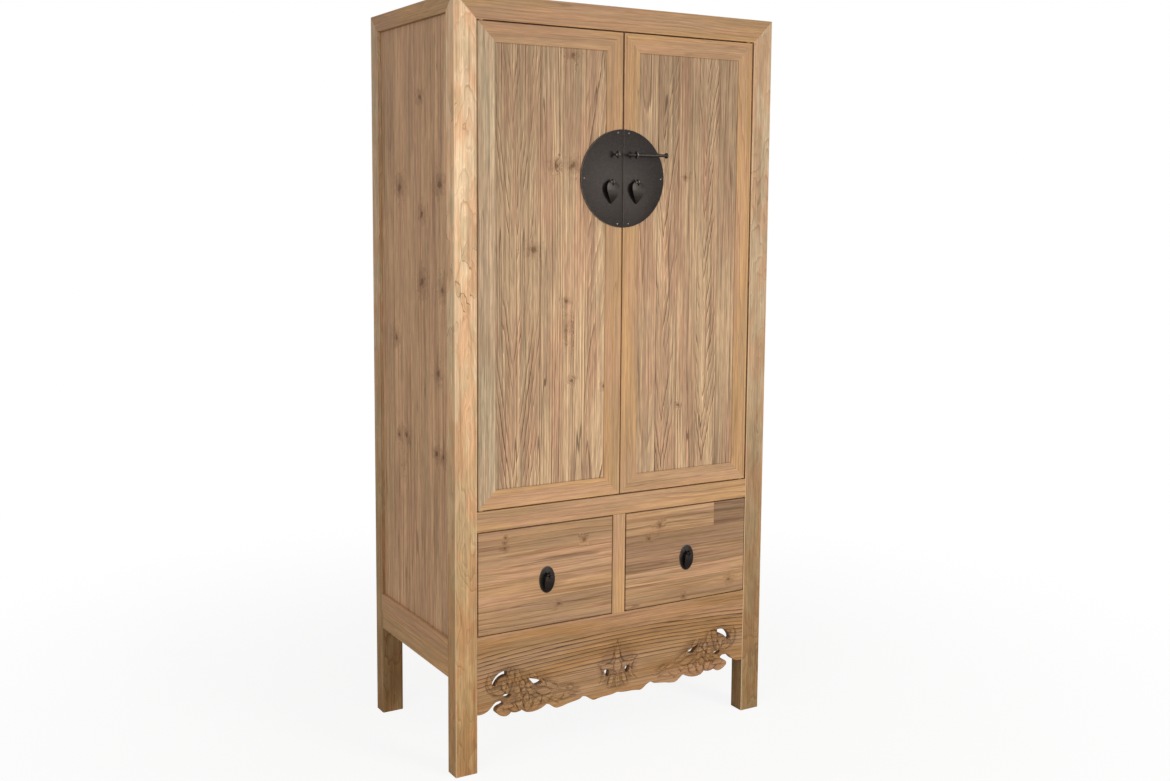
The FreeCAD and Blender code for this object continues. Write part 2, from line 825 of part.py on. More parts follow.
def pull(shares, half, length, bow, pointed, x, surface, level):
    """A hanging pull: a bowed plate with two knuckles on a pin through the eye's ring."""
    hinge_y = surface - s.pull_eye_reach
    hinge_z = level - (s.pull_eye_play - s.fit_clearance)
    tip_y = surface - s.pull_tip_stand - s.pull_thickness
    start = FreeCAD.Vector(0, hinge_y.value, hinge_z.value)
    end = FreeCAD.Vector(0, tip_y.value, (hinge_z - length).value)
    crown = (start + end) / 2 - FreeCAD.Vector(0, bow.value, 0)
    deep = FreeCAD.Vector(0, s.pull_thickness.value, 0)
    outer = Part.Arc(start, crown, end).toShape()
    inner = Part.Arc(end + deep, crown + deep, start + deep).toShape()
    band_edges = [
        outer,
        Part.makeLine(end, end + deep),
        inner,
        Part.makeLine(start + deep, start),
    ]
    band = Part.Face(Part.Wire(band_edges))
    wide = FreeCAD.Vector((half * 2).value, 0, 0)
    band.translate(FreeCAD.Vector((x - half).value, 0, 0))
    sheet_metal = band.extrude(wide)
    face_y = (surface - s.pull_eye_reach - bow - s.overrun).value
    face = outline_face(
        shares, half.value, length.value, pointed, x.value, hinge_z.value, face_y
    )
    depth = s.pull_eye_reach + bow + s.overrun
    blank = face.extrude(FreeCAD.Vector(0, depth.value, 0))
    leaf = loose("leaf", sheet_metal.common(blank))

    gap = s.pull_eye_strip / 2 + s.fit_clearance * 2
    slot = box(
        around(x, gap * 2),
        around(hinge_y, s.pull_eye_reach * 2),
        (hinge_z - s.pull_slot_depth, hinge_z + s.pull_slot_depth),
    )
    hinge = (hinge_y, hinge_z)
    end = s.pull_knuckle_end
    pin = cylinder(s.pull_pin_radius, end * 2, (x - end, *hinge), (1, 0, 0))
    knuckle_length = end - gap
    knuckles = [
        cylinder(s.pull_knuckle_radius, knuckle_length, (start_x, *hinge), (1, 0, 0))
        for start_x in (x - end, x + gap)
    ]
    return fuse([cut(leaf, [slot]), pin] + knuckles)


def lock_pin():
    """The turned pin of the lock, drawn to the right so that both doors are free: a tapered
    tip, a round shaft through the right-hand eye, and a knob."""
    sag = s.lock_eye_play - s.fit_clearance
    y = plate_front - s.lock_eye_reach
    tip = s.door_gap / 2
    knob_start = s.lock_pin_length - s.lock_pin_knob_length
    profile = (
        (ZERO, ZERO),
        (s.lock_pin_length, ZERO),
        (s.lock_pin_length, s.lock_pin_knob_radius / 2),
        (s.lock_pin_length - s.lock_pin_knob_length / 3, s.lock_pin_knob_radius),
        (knob_start + s.lock_pin_knob_length / 3, s.lock_pin_knob_radius),
        (knob_start, s.lock_pin_radius),
        (s.lock_pin_taper, s.lock_pin_radius),
        (ZERO, s.lock_pin_tip_radius),
    )
    body, sketch = draw("turned_pin", "XY", profile)
    turned = body.newObject("PartDesign::Revolution", "turning")
    turned.Profile = sketch
    turned.ReferenceAxis = (sketch, ["H_Axis"])
    place(body, tip, y, lock_eye_level - sag)
    keep("lock_pin", body)


def door(side, sign):
    """One door: a mitred frame around upright boards, two battens behind, dowel pivots on
    the outer stile, and its half of the round lock plate."""
    inner = s.door_gap / 2
    outer = opening_half - s.door_gap
    foot = door_sill + s.door_gap
    head = door_head - s.door_gap
    frame = s.door_frame_width
    depth = (front, front + s.door_thickness)
    radius = s.door_edge_radius

    def at(x):
        return x * sign

    # the outer edge is rounded, so that it clears the post as the door turns
    blank = fuse(
        [
            box(span(sign, inner, outer - radius), depth, (foot, head)),
            box(span(sign, inner, outer), grown(depth, -radius), (foot, head)),
        ]
        + [
            cylinder(radius, head - foot, (at(outer - radius), y, foot), (0, 0, 1))
            for y in (depth[0] + radius, depth[1] - radius)
        ]
    )
    across = ("x", span(sign, inner + frame, outer - frame))
    along = ("z", (foot + frame, head - frame))
    face = front + s.door_board_recess
    thickness = (face, face + s.door_board_thickness)
    tongue = around(middle(thickness), s.door_tongue_thickness)
    panel_room = groove(along, across, ("y", tongue), s.door_tongue_length)

    pivot_x = at(outer - s.pivot_inset)
    pivot_y = front + s.door_thickness / 2
    start = head - frame / 2
    reach = frame / 2 + s.door_gap
    top_pivot = cylinder(
        s.pivot_radius, reach + s.top_pivot_length, (pivot_x, pivot_y, start), (0, 0, 1)
    )
    start = foot + frame / 2
    bottom_pivot = cylinder(
        s.pivot_radius, reach + s.bottom_pivot_length, (pivot_x, pivot_y, start), (0, 0, -1)
    )
    bore = cylinder(
        s.pivot_radius + s.hole_clearance,
        head - foot + s.overrun * 2,
        (pivot_x, pivot_y, foot - s.overrun),
        (0, 0, 1),
    )

    plate = cylinder(
        s.lock_plate_radius, s.plate_thickness, (ZERO, plate_front, lock_plate_level), (0, 1, 0)
    )
    reach = s.lock_plate_radius + s.overrun
    half = box(
        span(sign, s.lock_plate_seam / 2, reach),
        grown((plate_front, front), s.overrun),
        grown((lock_plate_level, lock_plate_level), reach),
    )
    board_back = depth[1]
    lock_eye, lock_hole = eye(
        at(s.lock_eye_offset),
        lock_eye_level,
        plate_front,
        s.lock_eye_reach,
        lock_eye_radius,
        s.lock_eye_strip,
        board_back,
    )
    pull_eye, pull_hole = eye(
        at(s.pull_eye_offset),
        pull_eye_level,
        plate_front,
        s.pull_eye_reach,
        pull_eye_radius,
        s.pull_eye_strip,
        board_back,
    )
    level = lock_plate_level
    ring = s.lock_plate_radius - s.nail_edge_inset
    nails = []
    holes = [lock_hole, pull_hole]
    for x, z in (
        (s.nail_seam_offset, level + ring),
        (s.nail_seam_offset, level - ring),
        (ring, level),
    ):
        one, hole = nail(at(x), z, plate_front)
        nails.append(one)
        holes.append(hole)
    keep(f"{side}_lock_plate", cut(common(plate, half), holes))
    keep(f"{side}_plate_nails", group(nails))
    keep(f"{side}_door_eyes", group([lock_eye, pull_eye]))

    stile = prism(
        "XZ",
        (
            (at(outer), foot),
            (at(outer), head),
            (at(outer - frame), head - frame),
            (at(outer - frame), foot + frame),
        ),
        depth,
    )
    stile = cut(common(stile, blank), [panel_room])
    keep(f"{side}_door_outer_stile", fuse([stile, top_pivot, bottom_pivot]))
    stile = prism(
        "XZ",
        (
            (at(inner), foot),
            (at(inner), head),
            (at(inner + frame), head - frame),
            (at(inner + frame), foot + frame),
        ),
        depth,
    )
    keep(f"{side}_door_meeting_stile", cut(stile, [panel_room] + holes))
    for name, edge, shoulder in (
        ("top", head, head - frame),
        ("bottom", foot, foot + frame),
    ):
        rail = prism(
            "XZ",
            (
                (at(inner), edge),
                (at(outer), edge),
                (at(outer - frame), shoulder),
                (at(inner + frame), shoulder),
            ),
            depth,
        )
        keep(f"{side}_door_{name}_rail", cut(common(rail, blank), [panel_room, bore]))

    panel = boards(
        along, across, ("y", thickness), tongue, DOOR_BOARDS, s.door_tongue_length
    )
    keep(f"{side}_door_boards", cut(panel, holes))
    battens = []
    for share in BATTEN_SHARES:
        z = around(along[1][0] + (along[1][1] - along[1][0]) * share, s.batten_height)
        battens.append(box(across[1], (thickness[1], depth[1]), z))
    keep(f"{side}_door_battens", group(battens))
    one = pull(
        LEAF_SHARES,
        s.door_pull_half_width,
        s.door_pull_length,
        s.door_pull_bow,
        True,
        at(s.pull_eye_offset),
        plate_front,
        pull_eye_level,
    )
    keep(f"{side}_door_pull", one)


def drawer(side, sign):
    """One drawer: a flush front on a box of two sides, a back and a bottom, with an oval
    plate, a cotter eye and a drop pull."""
    thick = s.drawer_side_thickness
    front_back = front + s.drawer_front_thickness
    end = back_board_front - s.drawer_back_gap
    side_head = drawer_head - s.drawer_side_drop
    bottom = (
        drawer_foot + s.drawer_bottom_lift,
        drawer_foot + s.drawer_bottom_lift + s.drawer_bottom_thickness,
    )
    room = s.fit_clearance
    housing = s.drawer_housing

    bottom_x = span(sign, side_inner + thick - housing, side_outer - thick + housing)
    panel = box(bottom_x, (front_back - housing, end), bottom)
    keep(f"{side}_drawer_bottom", panel)
    bottom_groove = box(
        grown(bottom_x, room), (front_back - housing - room, end + s.overrun), grown(bottom, room)
    )

    sides, housings = [], []
    for x in (
        span(sign, side_inner, side_inner + thick),
        span(sign, side_outer - thick, side_outer),
    ):
        y = (front_back - housing, end)
        z = (drawer_foot, side_head)
        sides.append(cut(box(x, y, z), [bottom_groove]))
        housings.append(
            box(grown(x, room), (y[0] - room, end), (z[0] - s.overrun, z[1] + room))
        )
    keep(f"{side}_drawer_sides", group(sides))
    x = span(sign, side_inner + thick, side_outer - thick)
    z = (bottom[1], side_head - s.drawer_back_drop)
    keep(f"{side}_drawer_back", box(x, (end - thick, end), z))

    centre = (drawer_inner + drawer_outer) / 2 * sign
    plate_level = (drawer_foot + drawer_head) / 2 - s.drawer_plate_drop
    eye_level = plate_level + s.drawer_eye_lift
    cotter, hole = eye(
        centre,
        eye_level,
        plate_front,
        s.pull_eye_reach,
        pull_eye_radius,
        s.pull_eye_strip,
        front_back,
    )
    face = box(span(sign, drawer_inner, drawer_outer), (front, front_back), (drawer_foot, drawer_head))
    keep(f"{side}_drawer_front", cut(face, housings + [bottom_groove, hole]))

    oval = Part.Ellipse(
        FreeCAD.Vector(centre.value, plate_front.value, plate_level.value)
        + FreeCAD.Vector(0, 0, s.drawer_plate_half_height.value),
        FreeCAD.Vector(centre.value, plate_front.value, plate_level.value)
        + FreeCAD.Vector(s.drawer_plate_half_width.value, 0, 0),
        FreeCAD.Vector(centre.value, plate_front.value, plate_level.value),
    )
    rim = [arc.toShape() for arc in oval.toBSpline().toBiArcs(s.oval_arc_tolerance.value)]
    solid = Part.Face(Part.Wire(rim)).extrude(FreeCAD.Vector(0, s.plate_thickness.value, 0))
    plate = cut(loose("oval", solid), [hole])
    keep(f"{side}_drawer_plate", group([plate, cotter]))
    one = pull(
        OVAL_SHARES,
        s.drawer_pull_half_width,
        s.drawer_pull_length,
        s.drawer_pull_bow,
        False,
        centre,
        plate_front,
        eye_level,
    )
    keep(f"{side}_drawer_pull", one)


def check_and_write():
    """Stop on anything that failed, then write each piece to its own file."""
    doc.recompute()
    for item in doc.Objects:
        if "Invalid" in item.State or "Error" in item.State:
            raise RuntimeError(f"{item.Label} could not be worked out: {item.State}")
    for name, piece in nodes.items():
        shape = piece.Shape
        if shape.isNull() or not shape.isValid() or shape.Volume <= 0:
            raise RuntimeError(f"{name} is not a sound solid")
    os.makedirs("parts", exist_ok=True)
    for name, piece in nodes.items():
        piece.Shape.exportStep(f"parts/{name}.step")
    print(f"{len(nodes)} pieces written")


side_panels()
top_boards()
back_boards()
top_rails()
front_rails()
back_rails()
carved_apron()
posts()
inside()
drawer_runners()
for one_side, one_sign in SIDES.items():
    door(one_side, one_sign)
    drawer(one_side, one_sign)
lock_pin()
check_and_write()
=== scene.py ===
"""A tall cupboard of old elm: two framed doors with a round iron lock plate, over two drawers
and a pierced, carved apron. Each operator makes one piece or one group of like pieces, on the
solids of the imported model, which keep their places."""

import json
import math
import random

import bmesh
import bpy
import numpy as np
from mathutils import Matrix, Vector
from mathutils.geometry import delaunay_2d_cdt


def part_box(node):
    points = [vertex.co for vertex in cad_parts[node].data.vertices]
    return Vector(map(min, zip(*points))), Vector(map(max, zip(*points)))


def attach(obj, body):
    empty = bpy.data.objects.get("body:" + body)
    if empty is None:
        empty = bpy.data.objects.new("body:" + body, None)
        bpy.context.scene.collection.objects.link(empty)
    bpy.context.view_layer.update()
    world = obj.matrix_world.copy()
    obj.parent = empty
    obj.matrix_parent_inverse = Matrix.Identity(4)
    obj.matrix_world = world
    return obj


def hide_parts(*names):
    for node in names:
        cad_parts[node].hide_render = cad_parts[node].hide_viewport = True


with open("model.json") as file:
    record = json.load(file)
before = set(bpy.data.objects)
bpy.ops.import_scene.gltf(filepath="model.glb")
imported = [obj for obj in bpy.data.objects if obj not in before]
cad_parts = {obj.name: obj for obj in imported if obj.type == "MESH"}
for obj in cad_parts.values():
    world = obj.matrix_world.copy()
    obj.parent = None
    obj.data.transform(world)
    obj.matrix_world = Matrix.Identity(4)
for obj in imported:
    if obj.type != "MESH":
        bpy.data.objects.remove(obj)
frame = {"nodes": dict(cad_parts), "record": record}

bl_info = {
    "name": "Elm cupboard",
    "version": (1, 0, 0),
    "blender": (4, 5, 0),
    "location": "3D View > Sidebar > Cupboard",
    "description": "A tall elm cupboard with two doors, two drawers and a carved apron",
    "category": "Object",
}

MM = 0.001
X, Y, Z = 0, 1, 2
SIDES = ("left", "right")
SIGNS = {"left": -1, "right": 1}
IMAGE_WIDTH = 1170
IMAGE_HEIGHT = 781
WHITE = (1.0, 1.0, 1.0, 1.0)
SMOOTH = {"interpolation_type": "SMOOTHSTEP"}
MULTIPLIED = {"data_type": "RGBA", "blend_type": "MULTIPLY"}

# Points of a solid closer than this are one, and faces that turn less are one flat face.
MERGED = 0.002 * MM
FLAT = math.radians(0.4)
# Points closer to a plane than this lie in it.
TOUCH = 1e-6
# Edges shorter than this keep their corner, and so do those that run across the grain.
SHORTEST_ARRIS = 12 * MM
WITH_GRAIN = 0.95
# Two faces that turn by between so many degrees meet in a square edge.
SQUARE = (60.0, 120.0)
# How much old wax lies in a joint that shows most, where 1 is plain grime.
DARK_JOINT = 1.6
# What chance gives a plank: its heart's place (mm across, mm deep), lean, lightness, bend, seed.
PLANK_CHANCES = ((-60, 60), (15, 70), (-0.05, 0.05), (0.66, 0.9), (-0.02, 0.02), (0.0, 1.0))

# Knots in the wood that faces the room: place in mm and radius.
DOOR_KNOTS = (
    (-201, -257, 1583, 7),
    (-153, -257, 1584, 8),
    (-153, -257, 1868, 7),
    (-171, -257, 1231, 5),
    (-151, -257, 1020, 5),
    (-52, -257, 999, 5),
    (-268, -257, 1368, 8),
    (205, -257, 1560, 4),
    (190, -257, 930, 4),
)
SIDE_KNOTS = (
    (-482, 114, 1528, 12),
    (-482, -153, 1532, 12),
    (-482, -38, 1456, 9),
    (-482, -38, 1276, 13),
    (-482, -167, 1263, 11),
    (-482, 143, 1113, 10),
    (-482, -137, 1044, 9),
    (-482, 128, 844, 8),
    (-482, 78, 850, 9),
    (-482, -125, 831, 9),
    (-482, -169, 829, 8),
    (-482, -30, 1760, 8),
)
DRAWER_KNOTS = (
    (-349, -259, 618, 3),
    (-352, -259, 606, 3),
    (-351, -259, 592, 4),
    (-111, -259, 584, 5),
    (134, -259, 593, 6),
    (97, -259, 561, 4),
    (375, -259, 406, 6),
    (218, -259, 379, 4),
    (-190, -259, 420, 4),
)


def linear(code):
    """A colour written as sRGB hex, turned to the linear values that a shader takes."""
    parts = [int(code[i : i + 2], 16) / 255 for i in (1, 3, 5)]
    return (*(c / 12.92 if c <= 0.04045 else ((c + 0.055) / 1.055) ** 2.4 for c in parts), 1.0)


def colour(name, description, code):
    return bpy.props.FloatVectorProperty(
        name=name,
        description=description,
        subtype="COLOR",
        size=4,
        min=0.0,
        max=1.0,
        default=linear(code),
    )


def length(name, description, millimetres):
    return bpy.props.FloatProperty(
        name=name,
        description=description,
        unit="LENGTH",
        subtype="DISTANCE",
        min=0.0,
        default=millimetres * MM,
    )


def portion(name, description, default, high=1.0):
    return bpy.props.FloatProperty(
        name=name, description=description, subtype="FACTOR", min=0.0, max=high, default=default
    )


class WoodSettings(bpy.types.PropertyGroup):
    """The elm's colours and the sizes of its figure and worn edges."""

    post_pale: colour("Post", "Early wood of the posts, the lightest elm", "#e2c39d")
    post_ridge: colour("Post ridges", "Late wood of the posts", "#95683c")
    post_tint: colour("Post patches", "Orange and pink patches in the posts", "#dba87e")
    post_grey: colour("Grey post patches", "Grey-green patches in the posts", "#bda67e")
    # Painted shade: the posts darken toward their feet, partly as damp and partly as the shade of
    # light that falls off toward the floor.
    damp_and_shade: colour("Damp", "What a damp floor leaves of the light in the posts' feet", "#c4b699")
    rail_pale: colour("Rail", "Early wood of the rails and stiles", "#be9466")
    rail_ridge: colour("Rail ridges", "Late wood of the rails and stiles", "#855e3a")
    stile_pale: colour("Grey stile", "Early wood of the weathered left stile", "#b49d7e")
    stile_ridge: colour("Grey stile ridges", "Late wood of the weathered stile", "#8a7557")
    board_pale: colour("Boards", "Early wood of the door boards", "#c5a47f")
    board_ridge: colour("Board ridges", "Late wood of the door boards", "#6b4426")
    board_tint: colour("Board tint", "Pinkish patches in the boards", "#bb9070")
    board_grey: colour("Grey board patches", "Weathered patches in the boards", "#a38968")
    side_pale: colour("Side boards", "Early wood of the side boards", "#caa17a")
    side_ridge: colour("Side ridges", "Late wood of the side boards", "#6a4529")
    drawer_pale: colour("Drawer fronts", "Early wood of the drawer fronts", "#bb9268")
    drawer_ridge: colour("Drawer ridges", "Late wood of the drawer fronts", "#6f4828")
    apron_pale: colour("Apron", "Early wood of the apron", "#a67c4f")
    apron_ridge: colour("Apron ridges", "Late wood of the apron", "#4e341c")
    inner_pale: colour("Inner wood", "Early wood of the pieces inside", "#a5825c")
    inner_ridge: colour("Inner ridges", "Late wood of the pieces inside", "#775738")
    knot: colour("Knots", "The heart of a knot", "#56341e")
    # Grime also serves as painted shade along frames' inner edges, on the edges that line a gap
    # and toward the tops. In cracks and joints it is real grime, and in the carving it is drawn
    # darker the deeper the cut.
    grime: colour("Grime", "Old wax, dust and smoke in corners, cracks and carving", "#472c1a")
    stain: colour("Stain lines", "Dark lines that a fungus drew in the posts", "#7a5535")
    arris: length("Worn arris", "Rounding of the edges along the grain", 1.8)
    board_arris: length("Board arris", "Rounding of the boards' edges", 1.0)
    gap_arris: length("Gap arris", "Rounding of the edges that line a gap", 1.2)
    # The edges that line a gap are darkened as old wax and as painted shade of the gap.
    gap_wax_and_shade: portion("Gap grime", "How dark the edges that line a gap are", 1.5, 3.0)
    board_gap: length("Board gap", "Gap between two boards", 0.05)
    ring_spacing: length("Ring spacing", "Distance between two years' rings", 8.0)
    board_play: length("Board play", "How far one board stands off the next", 0.3)
    # Along a frame's edge the grime is painted shade of the frame over the boards.
    border: length("Grime border", "How far the grime reaches from a frame's edge", 3.5)
    carving_step: length("Carving step", "Distance between the points of the carved front", 1.6)
    plain_step: length("Plain step", "Distance between the points of the plain front", 7.0)
    rim_fall: length("Rim fall", "How far the apron's worn rim falls back", 1.5)
    rim_reach: length("Rim reach", "How far in from its edge the apron's rim starts to fall", 3.2)


class IronSettings(bpy.types.PropertyGroup):
    """The dark iron's colours and sizes."""

    iron: colour("Iron", "The dark skin of the iron", "#1e1814")
    # This pale iron is rubbed wear and also painted highlight, on polished pieces, rims and the
    # pulls' shoulders.
    worn_iron: colour("Worn iron", "Iron rubbed bright", "#8b8178")
    rust: colour("Rust", "Thin rust in the low places", "#2c211b")
    rim: length("Plate rim", "Rounding of the plates' rims", 0.7)
    nail_radius: length("Nail radius", "Radius of a nail's head", 3.5)
    nail_height: length("Nail height", "Height of a nail's head", 1.8)


class StageSettings(bpy.types.PropertyGroup):
    """The floor, the lamps and the camera."""

    floor: colour("Floor", "The pale floor", "#e9e6e1")
    key: bpy.props.FloatProperty(
        name="Key", description="Power of the main lamp", unit="POWER", min=0.0, default=134.0
    )
    fill: bpy.props.FloatProperty(
        name="Fill", description="Power of the soft lamp", unit="POWER", min=0.0, default=40.0
    )
    room: portion("Room light", "Light that comes from all round", 0.4, 4.0)
    shadow: portion("Floor shadow", "Share of the floor's own light in its colour", 0.12)
    white_reach: length("White reach", "Where the floor has turned to plain white", 2600)


def add(tree, kind, inputs=(), **settings):
    """Adds a node and returns its first open output. settings are its own properties; inputs are
    values, or the outputs that feed it, for its open sockets by name or in turn (None skips).
    A Map Range takes its value, the two limits it runs between, and what they turn into."""
    node = tree.nodes.new(kind)
    for name, value in settings.items():
        setattr(node, name, value)
    sockets = [socket for socket in node.inputs if socket.enabled]
    for key, value in inputs.items() if isinstance(inputs, dict) else enumerate(inputs):
        socket = node.inputs[key] if isinstance(key, str) else sockets[key]
        if isinstance(value, bpy.types.NodeSocket):
            tree.links.new(value, socket)
        elif value is not None:
            socket.default_value = value
    return next((socket for socket in node.outputs if socket.enabled), None)


def new_material(name):
    material = bpy.data.materials.new(name)
    material.use_nodes = True
    material.node_tree.nodes.clear()
    return material, material.node_tree


def nearest_knot(tree, spot, shifted, look):
    """How far the nearest knot's middle lies, in its own radii: some knots by chance, in a share
    of the cells that the plank is parted into, and some in places of their own."""
    cells_in_metre = (8.5, 0.0, 3.6)
    radii_in_cell, out_of_reach = 20.0, 9.0
    cells = add(tree, "ShaderNodeVectorMath", (shifted, cells_in_metre), operation="MULTIPLY")
    found = add(tree, "ShaderNodeTexVoronoi", (cells, 1.0))
    pick = add(tree, "ShaderNodeSeparateXYZ", (found.node.outputs["Color"],))
    missed = add(tree, "ShaderNodeMath", (pick, 1.0 - look["knots"]), operation="LESS_THAN")
    near = add(tree, "ShaderNodeMath", (found, radii_in_cell), operation="MULTIPLY")
    near = add(tree, "ShaderNodeMath", (missed, out_of_reach, near), operation="MULTIPLY_ADD")
    for *place, size in look["knot_places"]:
        place = [value * MM for value in place]
        away = add(tree, "ShaderNodeVectorMath", (spot, place), operation="DISTANCE")
        away = add(tree, "ShaderNodeMath", (away, size * MM), operation="DIVIDE")
        near = add(tree, "ShaderNodeMath", (near, away), operation="MINIMUM")
    # Their outlines are ragged, by a noise about 11 mm across, as large as they are.
    rough = add(tree, "ShaderNodeTexNoise", (spot, 90.0, 2.0))
    rough = add(tree, "ShaderNodeMapRange", (rough, 0.3, 0.7, 0.55, 1.5))
    return add(tree, "ShaderNodeMath", (near, rough), operation="MULTIPLY")


def waxed_elm(name, look):
    """Reclaimed elm, planed, brushed and waxed: the soft early wood is rubbed back, so the late
    wood stands up in fine ridges and the surface is even and slightly shiny. grain is the place
    in the plank (across, through, along), pith is where its tree's heart lay and how it leans,
    tone is the plank's lightness, seed and bend, pointed is the share of its figure that runs
    out in points, and worn, grime and gap say where its edges are rubbed pale, where old wax
    lies and where shade is painted in, and which edges line a gap, which are painted darker as
    old wax and the gap's shade. The colour also holds painted shade toward the feet and the
    tops, and a painted highlight beside each ridge."""
    wood = bpy.context.scene.cupboard_wood
    material, tree = new_material(name)
    grain, pith, tone = (
        add(tree, "ShaderNodeAttribute", attribute_name=layer).node.outputs["Vector"]
        for layer in ("grain", "pith", "tone")
    )
    pointed, worn, grime, gap = (
        add(tree, "ShaderNodeAttribute", attribute_name=layer).node.outputs["Fac"]
        for layer in ("pointed", "worn", "grime", "gap")
    )
    spot = add(tree, "ShaderNodeTexCoord").node.outputs["Object"]
    height = add(tree, "ShaderNodeSeparateXYZ", (spot,)).node.outputs["Z"]
    (across, through, along), (heart, depth, lean), (lightness, seed, bend) = (
        add(tree, "ShaderNodeSeparateXYZ", (value,)).node.outputs for value in (grain, pith, tone)
    )
    metres_apart = 40.0
    offset = add(tree, "ShaderNodeMath", (seed, metres_apart), operation="MULTIPLY")
    offset = add(tree, "ShaderNodeCombineXYZ", (offset, offset, offset))
    shifted = add(tree, "ShaderNodeVectorMath", (grain, offset), operation="ADD")

    def noise_at(wide, long, detail=2.0, roughness=0.5):
        """Noise whose patches are that many millimetres across and along the grain."""
        size = (1 / (wide * MM), 1 / (wide * MM), 1 / (long * MM))
        place = add(tree, "ShaderNodeVectorMath", (shifted, size), operation="MULTIPLY")
        return add(tree, "ShaderNodeTexNoise", (place, 1.0, detail, roughness))

    near = nearest_knot(tree, spot, shifted, look)
    core = add(tree, "ShaderNodeMapRange", (near, 0.5, 1.25, 1.0, 0.0), **SMOOTH)
    halo = add(tree, "ShaderNodeMapRange", (near, 0.0, 4.5, 1.0, 0.0), **SMOOTH)

    # Rings: how far each point lies from the tree's heart, in steps of one year.
    slow = noise_at(*look["sway_size"]).node.outputs["Color"]
    slow = add(tree, "ShaderNodeSeparateXYZ", (slow,)).node.outputs
    middle = -look["sway"] / 2
    sway, sink = (
        add(tree, "ShaderNodeMath", (part, look["sway"], middle), operation="MULTIPLY_ADD")
        for part in (slow[0], slow[1])
    )
    bow = add(tree, "ShaderNodeMath", (along, along), operation="MULTIPLY")
    across = add(tree, "ShaderNodeMath", (across, heart), operation="SUBTRACT")
    across = add(tree, "ShaderNodeMath", (bow, bend, across), operation="MULTIPLY_ADD")
    across = add(tree, "ShaderNodeMath", (across, sway), operation="ADD")
    through = add(tree, "ShaderNodeMath", (through, depth), operation="ADD")
    through = add(tree, "ShaderNodeMath", (along, lean, through), operation="MULTIPLY_ADD")
    through = add(tree, "ShaderNodeMath", (through, sink), operation="ADD")
    flat = add(tree, "ShaderNodeCombineXYZ", (across, through, 0.0))
    radius = add(tree, "ShaderNodeVectorMath", (flat,), operation="LENGTH")
    # A plank cut along a tapering trunk has rings that run out in nested points. A knot pushes
    # them aside by 14 mm.
    steepness, push = 0.7, 14 * MM
    point = add(tree, "ShaderNodeMath", (across,), operation="ABSOLUTE")
    point = add(tree, "ShaderNodeMath", (point, steepness, through), operation="MULTIPLY_ADD")
    radius = add(tree, "ShaderNodeMix", (pointed, radius, point), data_type="FLOAT")
    radius = add(tree, "ShaderNodeMath", (halo, push, radius), operation="MULTIPLY_ADD")
    fibre = noise_at(3.0, 240.0, 2.0, 0.6)
    line = noise_at(8.0, 550.0, 2.0, 0.6)
    band = noise_at(24.0, 700.0)
    # Pores are a tenth of this size, and drawn coarser so that they show.
    pore = noise_at(3.2, 40.0, 1.0)
    years = add(tree, "ShaderNodeMath", (radius, look["spacing"]), operation="DIVIDE")
    years = add(tree, "ShaderNodeMath", (line, 0.5, years), operation="MULTIPLY_ADD")
    years = add(tree, "ShaderNodeMath", (fibre, look["ragged"], years), operation="MULTIPLY_ADD")
    year = add(tree, "ShaderNodeMath", (years,), operation="FLOOR")
    # Each year is as strong as chance has it, in each plank anew.
    year = add(tree, "ShaderNodeMath", (seed, 61.0, year), operation="MULTIPLY_ADD")
    chance = add(tree, "ShaderNodeTexWhiteNoise", (year,), noise_dimensions="1D")
    season = add(tree, "ShaderNodeMath", (years,), operation="FRACT")
    # Late wood through one year: it rises slowly and ends at once.
    late = add(tree, "ShaderNodeValToRGB", (season,))
    steps = ((0.0, 0.0), (0.5, 0.03), (0.72, 0.25), (0.82, 1.0), (0.92, 0.9), (1.0, 0.0))
    stops = late.node.color_ramp.elements
    for index, (position, value) in enumerate(steps):
        stop = stops[index] if index < 2 else stops.new(position)
        stop.position = position
        stop.color = (value, value, value, 1.0)
    ring = add(tree, "ShaderNodeMapRange", (chance, 0.0, 1.0, look["even"], 1.0), **SMOOTH)
    ring = add(tree, "ShaderNodeMath", (late, ring), operation="MULTIPLY")
    if "strong" in look:
        # The ridges show most in a band between these heights.
        low, full, top, plain = look["strong"]
        rise = add(tree, "ShaderNodeMapRange", (height, low, full, 0.3, 1.0), **SMOOTH)
        ring = add(tree, "ShaderNodeMath", (ring, rise), operation="MULTIPLY")
        fall = add(tree, "ShaderNodeMapRange", (height, top, plain, 1.0, 0.15), **SMOOTH)
        ring = add(tree, "ShaderNodeMath", (ring, fall), operation="MULTIPLY")

    # Long fine checks, about 1 mm wide and drawn at 2 mm so that they show, and pores in streaks.
    check = add(tree, "ShaderNodeMath", (noise_at(24.0, 800.0, 1.0), 0.5), operation="SUBTRACT")
    check = add(tree, "ShaderNodeMath", (check,), operation="ABSOLUTE")
    check = add(tree, "ShaderNodeMapRange", (check, 0.004, 0.013, look["checks"], 0.0), **SMOOTH)
    where = add(tree, "ShaderNodeMapRange", (noise_at(30.0, 300.0), 0.46, 0.6, 0.0, 1.0), **SMOOTH)
    check = add(tree, "ShaderNodeMath", (check, where), operation="MULTIPLY")
    limits = (noise_at(*look["streak_size"], 2.0, 0.6), 0.53, 0.66, 0.0, look["streaks"])
    streak = add(tree, "ShaderNodeMapRange", limits, **SMOOTH)

    strength = add(tree, "ShaderNodeMath", (ring, look["contrast"]), operation="MULTIPLY")
    limits = (noise_at(30.0, 340.0), 0.42, 0.58, look["fading"], 1.0)
    shown = add(tree, "ShaderNodeMapRange", limits, **SMOOTH)
    strength = add(tree, "ShaderNodeMath", (strength, shown), operation="MULTIPLY")
